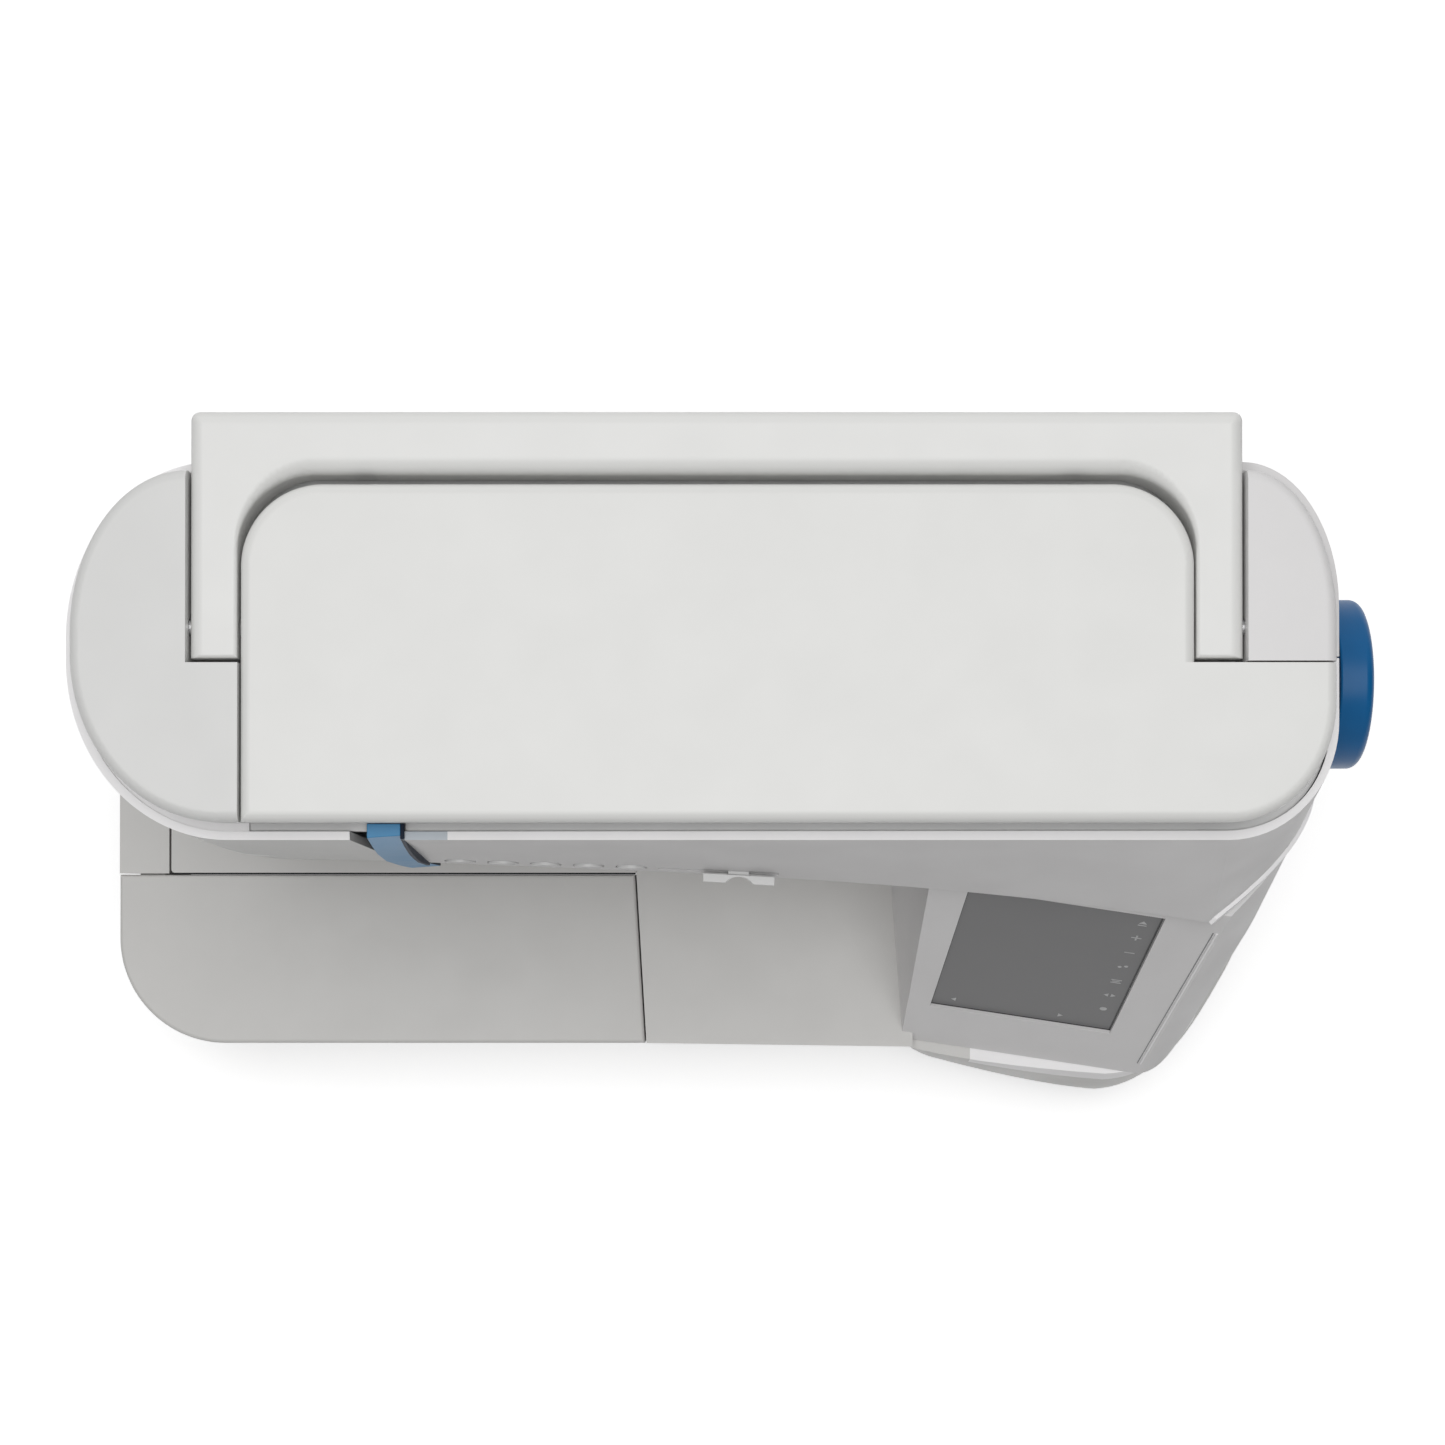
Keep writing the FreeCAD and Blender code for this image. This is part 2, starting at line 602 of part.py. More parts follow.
# ---------------------------------------------------------------- top deck
def top_deck(handle_pins):
    """Fixed deck under the lid with spool pin, bobbin winder and thread guides."""
    low, thick = size("deck_low"), size("deck_thick")
    plate = moulded("deck_plate", ruled_solid(arm_ring(low, 3.4), arm_ring(low + thick, 3.4)))
    spindle_way = rod("spindle_way", "Z", (132, 66, 270), 2.85, 8)
    ears, pins = [], []
    for side, x in (("left", -113), ("right", 130)):
        ear = fuse(f"deck_ear_{side}",
                   box(f"deck_ear_web_{side}", (x, "lid_axis_back - 2.6", "deck_low + deck_thick - 0.5"),
                       (x + 5, "lid_axis_back + 2.6", "lid_axis_up")),
                   rod(f"deck_ear_tip_{side}", "X", (x, "lid_axis_back", "lid_axis_up"), 2.6, 5))
        ears.append(cut(f"deck_ear_bored_{side}", ear,
                        rod(f"deck_ear_bore_{side}", "X", (x - 1, "lid_axis_back", "lid_axis_up"),
                            "lid_pin_radius", 8)))
        start = x - 6 if side == "left" else x
        pins.append(rod(f"lid_pin_{side}", "X", (start, "lid_axis_back", "lid_axis_up"),
                        "lid_pin_radius", 11))
    pin_block = box("spool_post", (-64, 34, "deck_low + deck_thick - 0.5"), (-58, 46, 293))
    bore = rod("spool_post_bore", "X", (-66, 40, 287), 2.2, 12)
    stop_post = rod("stop_post", "Z", (156, 60, "deck_low + deck_thick - 1"), 5, 14)
    stop_disc = rod("stop_disc", "Z", (156, 60, 287), 7, 3)
    ribbon_way = box("ribbon_way", ("ribbon_left - 0.3", -40, 260), ("ribbon_right + 0.3", -13.6, 284))
    node("top_deck", cut("deck_whole", fuse("deck_joined", plate, pin_block, stop_post, stop_disc,
                                            *handle_posts(), *ears), spindle_way, bore, ribbon_way))
    node("hinge_pins", group("hinge_pin_group", *pins, *handle_pins))
    pin = rod("spool_pin_rod", "X", (-64, 40, 287), 2.2, 96)
    cap = cut("spool_cap_bored", fuse("spool_cap_solid",
              rod("spool_cap_disc", "X", (16, 40, 287), 9.3, 3),
              rod("spool_cap_cone", "X", (12, 40, 287), 4.5, 4.5)),
              rod("spool_cap_bore", "X", (10, 40, 287), 2.3, 12))
    node("spool_pin", group("spool_pin_group", pin, cap))
    spindle = fuse("spindle_solid", rod("spindle_rod", "Z", (132, 66, 262), 2.8, 28),
                   rod("spindle_tip", "Z", (132, 66, 289.5), 2.8, 3, 1.6),
                   rod("spindle_flange", "Z", (132, 66, 277), 6, 1.6))
    node("winder_spindle", spindle)
    guide = fuse("guide_solid", box("guide_foot", (-116, 8, 275.5), (-92, 20, 278.5)),
                 rod("guide_disc_low", "Z", (-104, 14, 278), 5.5, 1.2),
                 rod("guide_stem", "Z", (-104, 14, 278), 1.6, 10),
                 rod("guide_disc_high", "Z", (-104, 14, 282), 5.5, 1.2))
    node("thread_guide", guide)


# ---------------------------------------------------------------- front details
def front_details():
    """Blue ribbon trim, speed slider, buttons, screen."""
    def ribbon_ring(height, face):
        def at(x, y):
            return Vec(x, y, height)
        a, b = at(size("ribbon_left"), face), at(size("ribbon_right"), face + 0.8)
        c, d = at(size("ribbon_right"), face + 5), at(size("ribbon_left"), face + 5)
        return [line(a, b), line(b, c), line(c, d), line(d, a)]
    bow = ((size("head_under") + 1, -28.7), (185, -28.1), (227, -26.7), (252, -24.3), (267, -21.6),
           (size("lip_top") + 1.5, -18.9))
    ribbon = moulded("ribbon_solid", ruled_solid(*[ribbon_ring(*station) for station in bow]))
    node("ribbon_trim", ribbon)
    stem = box("slider_stem", (14, -33, 208.6), (22, -18, 211.9))
    ends = [Vec(4.7, -30.9, 206.5), Vec(4.7, -34.1, 206.5), Vec(31.4, -35.7, 206.5),
            Vec(31.4, -32.4, 206.5)]
    grip = moulded("slider_grip", prism([line(a, b) for a, b in zip(ends, ends[1:] + ends[:1])], 7.5))
    notch = rod("slider_notch", "Z", (18, -39.0, 206), 6.6, 9)
    keeper = box("slider_keeper", (8, -20, 205), (28, -17, 216))
    node("speed_slider", cut("slider_whole", fuse("slider_joined", stem, grip, keeper), notch))
    for name, x in zip(BUTTON_NAMES, BUTTON_PLACES):
        face = -28.1 - 0.0365 * (x + 54)
        cap = rod(name + "_cap", "Y", (x, face, "button_up"), "button_radius", BUTTON_REAR - face)
        flange = rod(name + "_flange", "Y", (x, BUTTON_REAR - 3, "button_up"), "button_radius + 1.2", 3)
        node(name, fuse(name + "_solid", cap, flange))
    switch_board = box("switch_board_solid", (-96, -14.5, 203), (-12, -12.9, 220))
    glass = moulded("glass_solid", panel_block(size("glass_width"), size("glass_height"),
                                               1.8, 1.8 + size("glass_thick")))
    node("screen_glass", glass)
    module = moulded("module_solid", panel_block(size("glass_width") + 6, size("glass_height") + 6,
                                                 4.6, 9))
    node("display_module", module)
    main_board = box("main_board_solid", (98, 12, 84), (192, 13.6, 190))
    node("circuit_boards", group("board_group", main_board, switch_board))


BUTTON_NAMES = ("start_stop_button", "reverse_button", "lock_button", "needle_button", "cutter_button")


# ---------------------------------------------------------------- base, free arm, table
def base():
    """Base cover with bed and foot, bottom plate with plinth, rubber feet."""
    low, foot, bed, wall = size("base_low"), size("foot_height"), size("bed_height"), size("wall")
    lower = moulded("base_outer", ruled_solid(*[base_ring(height) for height in FOOT_LEVELS]))
    slab = common("bed_slab", moulded("bed_full", ruled_solid(base_ring(foot - 2), base_ring(bed))),
                  region("bed_zone", (None, None, None), ("column_left + 6", None, None)))
    column = moulded("column_plug", ruled_solid(column_ring(foot + 0.1), column_ring(90)))
    hollow = moulded("base_hollow", ruled_solid(base_ring(low - 1, wall), *[
        base_ring(height, wall) for height in FOOT_LEVELS[1:-2]], base_ring(foot - wall, wall)))
    slab_hollow = box("slab_hollow", ("base_left + wall + 4.3", "bed_front + wall", 60),
                      ("column_left - wall", "base_rear - wall", "bed_height - wall"))
    riser = box("column_way", (96, -62, 60), (222, 100, 71))
    arm_way = box("free_arm_way", (-30, "free_arm_front + wall", 29), (-10, "free_arm_rear - wall", 72))
    inlet_way = box("power_inlet_way", (230, 62, 24), (250, 92, 46))
    jack_way = rod("jack_way", "X", (230, 48, 35), 4.3, 20)
    switch_way = box("switch_way", (230, 20, 28), (250, 40, 42))
    solid = fuse("base_joined", lower, slab)
    plinth_way = box("plinth_way", (-30, -27, 0), (-18, 71, 14.4))
    node("base_cover", cut("base_whole", solid, column, hollow, slab_hollow, riser, arm_way,
                           plinth_way, inlet_way, jack_way, switch_way))
    plate = moulded("plate_solid", ruled_solid(base_ring(4, 3.4), base_ring(7.5, 3.4)))
    plinth = box("plinth_block", (-212, -26, 4), (-20, 70, 14))
    plinth = rounded("plinth", plinth, 12, along("Z"))
    feet_ways = [rod(f"foot_way_{i}", "Z", (x, y, 3), 5.0, 3) for i, (x, y) in enumerate(FEET)]
    node("bottom_plate", cut("plate_whole", fuse("plate_joined", plate, plinth), *feet_ways))
    feet = [fuse(f"foot_{i}", rod(f"foot_pad_{i}", "Z", (x, y, 0), 9, 4),
                 rod(f"foot_plug_{i}", "Z", (x, y, 3), 4.9, 3)) for i, (x, y) in enumerate(FEET)]
    node("rubber_feet", group("foot_group", *feet))


FEET = ((-196, -8), (-196, 52), (0, -86), (0, 94), (214, 88), (200, -88))


def free_arm():
    """Hollow free arm, needle plate, bobbin cover and its latch."""
    outer = box("free_arm_block", ("free_arm_left", "free_arm_front", "free_arm_low"),
                ("base_left - 0.2", "free_arm_rear", "bed_height"))
    outer = rounded("free_arm_heel", outer, 14, lambda edge: along("Z")(edge)
                    and edge.Vertexes[0].Point.x < -200 and edge.Vertexes[0].Point.y > 0)
    outer = rounded("free_arm_toe", outer, 1.5, lambda edge: along("Z")(edge)
                    and edge.Vertexes[0].Point.x < -200 and edge.Vertexes[0].Point.y < 0)
    outer = rounded("free_arm_belly", outer, 5, level(size("free_arm_low")))
    hollow = box("free_arm_hollow", ("free_arm_left + wall", "free_arm_front + wall", "free_arm_low + wall"),
                 (0, "free_arm_rear - wall", "bed_height - wall"))
    window = box("plate_window", (-150.3, -10.3, 60), (-93.7, 60.3, 80))
    lever_way = box("lever_way", (-68, 60, 43), (-46, 80, 51))
    node("free_arm_cover", cut("free_arm_whole", outer, hollow, window, lever_way))
    plate = box("needle_plate_block", (-150, -10, 72.5), (-94, 60, 75))
    cover_way = box("bobbin_cover_way", (-142.2, -11, 70), (-101.8, 31.2, 80))
    slots = [box(f"feed_slot_{i}", (x, 32.5 if abs(x + 120) > 3 else 44, 70), (x + 3.4, 57.5, 80))
             for i, x in enumerate(FEED_ROWS)]
    needle_way = box("needle_way", (-123.5, 37.2, 70), (-116.5, 39.8, 80))
    screw_ways = [rod(f"plate_screw_way_{i}", "Z", (x, 53, 70), 3.1, 10) for i, x in enumerate((-144, -100))]
    latch_way = box("latch_way", (-100.2, 6.8, 70), (-95.6, 17.2, 80))
    node("needle_plate", cut("needle_plate_whole", plate, cover_way, needle_way, latch_way,
                             *slots, *screw_ways))
    screws = [cut(f"plate_screw_{i}", fuse(f"plate_screw_solid_{i}",
                  rod(f"plate_screw_head_{i}", "Z", (x, 53, 73), 3, 1.8),
                  rod(f"plate_screw_shank_{i}", "Z", (x, 53, 64), 1.9, 9.5)),
                  box(f"plate_screw_slot_{i}", (x - 2.4, 52.6, 74), (x + 2.4, 53.4, 76)))
              for i, x in enumerate((-144, -100))]
    node("bobbin_cover", box("bobbin_cover_plate", (-141.9, -10, 72.7), (-102.1, 30.9, 75)))
    node("cover_latch", fuse("latch_solid", box("latch_button", (-100, 7, 71), (-98, 17, 75.6)),
                             box("latch_keel", (-101.5, 8, 69), (-96.5, 16, 72))))
    return screws


FEED_ROWS = (-130, -125.6, -121.7, -117.8, -113.4)


def table_outline(height, inset=0.0):
    """Outline of the extension table in front of the free arm."""
    def at(x, y):
        return Vec(x, y, height)
    gap = size("seam")
    left, front, rear = -size("half_width") + inset, size("bed_front") + inset, size("table_seam") - inset
    right = size("base_left") - gap - inset
    r = size("table_corner") - inset
    return [
        line(at(right, rear), at(right + 4.3, front)),
        line(at(right + 4.3, front), at(left + r, front)),
        corner(at(left + r, front), at(left, front), at(left, front + r)),
        line(at(left, front + r), at(left, rear)),
        line(at(left, rear), at(right, rear)),
    ]


def extension_table():
    """Slide-off table: tray body with a left wing, and a hinged accessory lid."""
    low, lid_low, bed, wall = size("table_low"), size("lid_low"), size("bed_height"), size("wall")
    skirt = moulded("table_skirt", prism(table_outline(low), lid_low - 1.5 - low))
    core = moulded("table_core", prism(table_outline(low, wall + 1.3), bed - wall - 0.6 - low))
    back = box("table_back", (-238, "table_seam - wall", 4), ("base_left - 4.5", "table_seam", 71.3))
    hollow = moulded("table_hollow", prism(table_outline(low + wall, 2 * wall + 1.3), 100))
    wing = box("table_wing", ("-half_width", "table_seam + 0.5", 18),
               ("free_arm_left - 0.9", "free_arm_rear", "bed_height"))
    wing = rounded("table_wing_end", wing, 12, lambda edge: along("Z")(edge)
                   and edge.Vertexes[0].Point.x < -240 and edge.Vertexes[0].Point.y > 60)
    wing_hollow = box("wing_hollow", ("-half_width + wall", "table_seam + wall", 10),
                      ("free_arm_left - 0.9 - wall", "free_arm_rear - wall", "bed_height - wall"))
    bridge = box("table_bridge", (-237, "table_seam - 2.5", 18),
                 ("free_arm_left - 3.5", "table_seam + 4", 71))
    solid = cut("table_tub", fuse("table_blocks", skirt, core), hollow)
    body = fuse("table_body", solid, back, cut("wing_shell", wing, wing_hollow), bridge)
    pin_ways = [rod(f"table_pin_way_{i}", "X", (x - 10, "bed_front + 2.2", "lid_hinge_up"), 2.4, 20)
                for i, x in enumerate(TABLE_HINGES)]
    node("extension_table", cut("table_whole", body, *pin_ways))
    cap = moulded("lid_cap", prism(table_outline(lid_low), bed - lid_low))
    cap = rounded("lid_cap_softened", cap, 1.6, level(bed))
    inside = moulded("lid_inside", prism(table_outline(lid_low - 1, wall), bed - wall - lid_low + 1))
    back_way = box("lid_back_way", ("-half_width + wall", "table_seam - wall - 0.4", 0),
                   (0, "table_seam + 1", "bed_height - wall"))
    side_way = box("lid_side_way", ("base_left - 5.5", "bed_front + 3.2", 0),
                   (0, "table_seam + 1", "bed_height - wall"))
    knuckles = [rod(f"lid_knuckle_{i}", "X", (x - 6, "bed_front + 2.2", "lid_hinge_up"), 2, 12)
                for i, x in enumerate(TABLE_HINGES)]
    node("accessory_lid", fuse("accessory_lid_joined",
                               cut("accessory_lid_shell", cap, inside, back_way, side_way), *knuckles))
    tray = box("tray_block", (-196, -92, 7.2), (-40, -42, 40))
    tray_hollow = box("tray_hollow", (-194.4, -90.4, 8.8), (-41.6, -43.6, 45))
    node("accessory_tray", cut("tray_whole", tray, tray_hollow))


TABLE_HINGES = (-180, -60)


# ---------------------------------------------------------------- frame and drive
MAIN_BOSSES = ((-96, -86), (20, 30), (190, 200))
LOWER_BOSSES = ((-92, -82), (150, 160))


def chassis():
    """Cast frame: arm web, column post, free-arm web and the bearing bosses."""
    webs = [box("arm_web", (-96, "web_back", 204), (171, "web_back + web_thick", 262)),
            box("column_post", (104, "web_back", 14.2), (134, "web_back + web_thick", 262)),
            box("bed_web", (-204, "web_back", 30), (171, "web_back + web_thick", 60)),
            box("end_web", (168, 57, 204), (204, 65, 262)),
            box("end_link", (160, "web_back + web_thick - 3", 204), (171, 65, 262)),
            box("head_lug_low", (-134, 30, 200), (-111, 61, 207)),
            box("head_lug_high", (-134, 30, 224), (-111, 61, 231)),
            box("head_spine", (-134, 55.6, 200), (-90, 62, 262)),
            box("threader_lug", (-146, 40, 204), (-133, 48, 212)),
            box("take_up_arm_bracket", (-99, 6, 231), (-92, 47, 246)),
            box("motor_plate", (134.2, 47, 84), (141.8, 100, 136)),
            box("motor_plate_foot", (128, "web_back", 84), (136, "web_back + web_thick", 136)),
            box("frame_foot", (92, 30, 14.2), (146, 70, 20)),
            box("deck_post_left", (-60, "web_back", 255), (-48, "web_back + web_thick", 272.4)),
            box("deck_post_right", (104, "web_back", 255), (116, "web_back + web_thick", 272.4))]
    bores = [rod("needle_bar_way", "Z", ("needle_across", "shaft_back", 200), "needle_bar_radius + fit", 32),
             rod("presser_bar_way", "Z", ("needle_across", "presser_back", 200), "presser_bar_radius + fit", 32)]
    for i, (x_low, x_high) in enumerate(MAIN_BOSSES):
        rear = "web_back + 1" if i < 2 else "60"
        webs.append(box(f"main_boss_{i}", (x_low, "shaft_back - 12", "shaft_up - 12"),
                        (x_high, rear, "shaft_up + 12")))
        bores.append(rod(f"main_bore_{i}", "X", (x_low - 1, "shaft_back", "shaft_up"),
                         "main_radius + fit + bush_wall", 12))
    for i, (x_low, x_high) in enumerate(LOWER_BOSSES):
        webs.append(box(f"lower_boss_{i}", (x_low, "shaft_back - 9", 30),
                        (x_high, "web_back + 1", "lower_shaft_up + 9")))
        bores.append(rod(f"lower_bore_{i}", "X", (x_low - 1, "shaft_back", "lower_shaft_up"),
                         "lower_radius + fit + bush_wall", 12))
    bores += [rod("threader_way", "Z", (-140, 44, 200), 1.85, 20),
              rod("motor_plate_way", "X", (133, "motor_back", "motor_up"), 10, 10),
              rod("take_up_pin_way", "X", (-100, 16, 239), 2.5, 10)]
    hook_arm = box("hook_arm", (-136, 8, 29.3), (-104, 47, 32.3))
    bores.append(rod("hook_shaft_way", "Z", ("needle_across", "hook_back", 28), 3.05, 8))
    bores.append(box("hook_gear_way", (-130, 28, 28), (-110, 50, 50)))
    node("chassis_frame", cut("chassis_whole", fuse("chassis_joined", *webs, hook_arm), *bores))
    bushes = []
    for kind, radius, up, places in (("main", "main_radius", "shaft_up", MAIN_BOSSES),
                                     ("lower", "lower_radius", "lower_shaft_up", LOWER_BOSSES)):
        for i, (x_low, x_high) in enumerate(places):
            outer = rod(f"{kind}_bush_outer_{i}", "X", (x_low, "shaft_back", up),
                        f"{radius} + fit + bush_wall", x_high - x_low)
            inner = rod(f"{kind}_bush_bore_{i}", "X", (x_low - 1, "shaft_back", up), f"{radius} + fit", 12)
            bushes.append(cut(f"{kind}_bush_{i}", outer, inner))
    node("shaft_bushes", group("bush_group", *bushes))


def pulley(name, x, back, up, radius, width, bore):
    """Flanged belt pulley on the X axis."""
    rim = rod(name + "_rim", "X", (x, back, up), f"{radius}", width)
    flanges = [rod(f"{name}_flange_{i}", "X", (place, back, up), f"{radius} + 1.2", 1)
               for i, place in enumerate((x - 1, x + width))]
    solid = fuse(name + "_solid", rim, *flanges)
    return cut(name, solid, rod(name + "_bore", "X", (x - 2, back, up), bore, width + 4)) if bore else solid


def belt(name, x, width, first, first_radius, second, second_radius):
    """Closed flat belt round two pulleys, as the skin between two tangent hulls."""
    def hull(grow):
        (y1, z1), (y2, z2) = first, second
        r1, r2 = first_radius + grow, second_radius + grow
        dy, dz = y2 - y1, z2 - z1
        distance = math.hypot(dy, dz)
        heading, spread = math.atan2(dz, dy), math.acos((r1 - r2) / distance)

        def on(y, z, r, angle):
            return Vec(x, y + r * math.cos(angle), z + r * math.sin(angle))
        a, b = heading + spread, heading - spread
        edges = [line(on(y1, z1, r1, b), on(y2, z2, r2, b)),
                 Part.Arc(on(y2, z2, r2, b), on(y2, z2, r2, heading), on(y2, z2, r2, a)).toShape(),
                 line(on(y2, z2, r2, a), on(y1, z1, r1, a)),
                 Part.Arc(on(y1, z1, r1, a), on(y1, z1, r1, heading + math.pi),
                          on(y1, z1, r1, b)).toShape()]
        return Part.Face(Part.Wire(edges)).extrude(Vec(width, 0, 0))
    return moulded(name, hull(1.7).cut(hull(0.3)))


def drive():
    """Main shaft, lower shaft, belts, motor, hook, feed."""
    back, up, low = size("shaft_back"), size("shaft_up"), size("lower_shaft_up")
    crank = [rod("crank_disc", "X", (-109, "shaft_back", "shaft_up"), 15, 9),
             rod("crank_pin", "X", (-110.8, "shaft_back", "shaft_up + 11"), 2.5, 2.4)]
    shaft = fuse("main_shaft_solid", rod("main_shaft_rod", "X", (-104, "shaft_back", "shaft_up"),
                                         "main_radius", 348), *crank,
                 pulley("timing_pulley", 177, "shaft_back", "shaft_up", 14, 8, None),
                 pulley("drive_pulley", 207, "shaft_back", "shaft_up", 24, 8, None))
    node("main_shaft", cut("main_shaft_whole", shaft,
                           region("shaft_end", (238, 20, 200), (250, 60, 250))))
    wheel = rod("wheel_solid", "X", ("handwheel_face", "shaft_back", "shaft_up"),
                "handwheel_radius", "half_width - handwheel_face")
    wheel = rounded("wheel_rim", wheel, 3.4, lambda edge: len(edge.Vertexes) == 1
                    and edge.Vertexes[0].Point.x > 244)
    dish = rod("wheel_dish", "X", (242.2, "shaft_back", "shaft_up"), 21, 5, 23)
    bore = rod("wheel_bore", "X", (230, "shaft_back", "shaft_up"), "main_radius", 8)
    node("handwheel", cut("wheel_whole", wheel, dish, bore))
    lower = fuse("lower_solid", rod("lower_rod", "X", (-134, "shaft_back", "lower_shaft_up"),
                                    "lower_radius", 322),
                 rod("hook_gear", "X", (-126, "shaft_back", "lower_shaft_up"), 8.6, 12),
                 pulley("lower_pulley", 177, "shaft_back", "lower_shaft_up", 14, 8, None))
    node("lower_shaft", lower)
    node("timing_belt", belt("timing_loop", 177.5, 7, (back, low), 14, (back, up), 14))
    node("drive_belt", belt("drive_loop", 207.5, 7, (size("motor_back"), size("motor_up")), 8,
                            (back, up), 24))
    node("motor_pulley", cut("motor_pulley_whole",
                             pulley("motor_wheel", 207, "motor_back", "motor_up", 8, 8, None),
                             rod("motor_pulley_bore", "X", (205, "motor_back", "motor_up"), "2.55", 12)))
    motor = fuse("motor_solid", rod("motor_can", "X", (142, "motor_back", "motor_up"), "motor_radius", 52),
                 rod("motor_boss", "X", (193, "motor_back", "motor_up"), 7, 4),
                 rod("motor_axle", "X", (196, "motor_back", "motor_up"), 2.5, 20))
    node("main_motor", motor)
    hook_wheel = rod("hook_wheel", "Z", ("needle_across", "hook_back", 36), 9.4, 5)
    hook_axle = rod("hook_axle", "Z", ("needle_across", "hook_back", 29.3), 3, 20)
    cup = cut("hook_cup", rod("hook_cup_outer", "Z", ("needle_across", "hook_back", 48), 17, 15),
              rod("hook_cup_inner", "Z", ("needle_across", "hook_back", 51), 15, 14))
    node("rotary_hook", fuse("rotary_hook_solid", hook_wheel, hook_axle, cup))
    case = cut("case_cup", rod("case_outer", "Z", ("needle_across", "hook_back", 51.5), 14.5, 15),
               rod("case_inner", "Z", ("needle_across", "hook_back", 53.5), 11.2, 14))
    node("bobbin_case", fuse("bobbin_case_solid", case, rod("case_post", "Z",
                             ("needle_across", "hook_back", 52.5), 2.7, 12)))
    spool = fuse("bobbin_spool", rod("bobbin_low", "Z", ("needle_across", "hook_back", 54.2), 10.2, 1.2),
                 rod("bobbin_core", "Z", ("needle_across", "hook_back", 54.2), 5, 11),
                 rod("bobbin_high", "Z", ("needle_across", "hook_back", 64.4), 10.2, 1.2))
    node("bobbin", cut("bobbin_whole", spool, rod("bobbin_bore", "Z",
                       ("needle_across", "hook_back", 50), 3, 20)))
    rows = [box(f"feed_row_{i}", (x + 0.6, 35.2 if abs(x + 120) > 3 else 46.6, 70), (x + 2.8, 54.8, 75.5))
            for i, x in enumerate(FEED_ROWS)]
    node("feed_dog", fuse("feed_dog_solid", box("feed_block", (-131, 43, 64.4), (-109, 56, 71.5)), *rows,
                          box("feed_foot", (-128, 46.5, 61), (-112, 56, 65))))
    lever = fuse("drop_lever_solid", box("drop_lever_tab", (-66, 68.2, 44), (-60, 75, 50)),
                 box("drop_lever_plate", (-70, 59, 41), (-56, 62, 53)),
                 box("drop_lever_neck", (-65, 61, 45), (-61, 69, 49)))
    node("drop_feed_lever", lever)


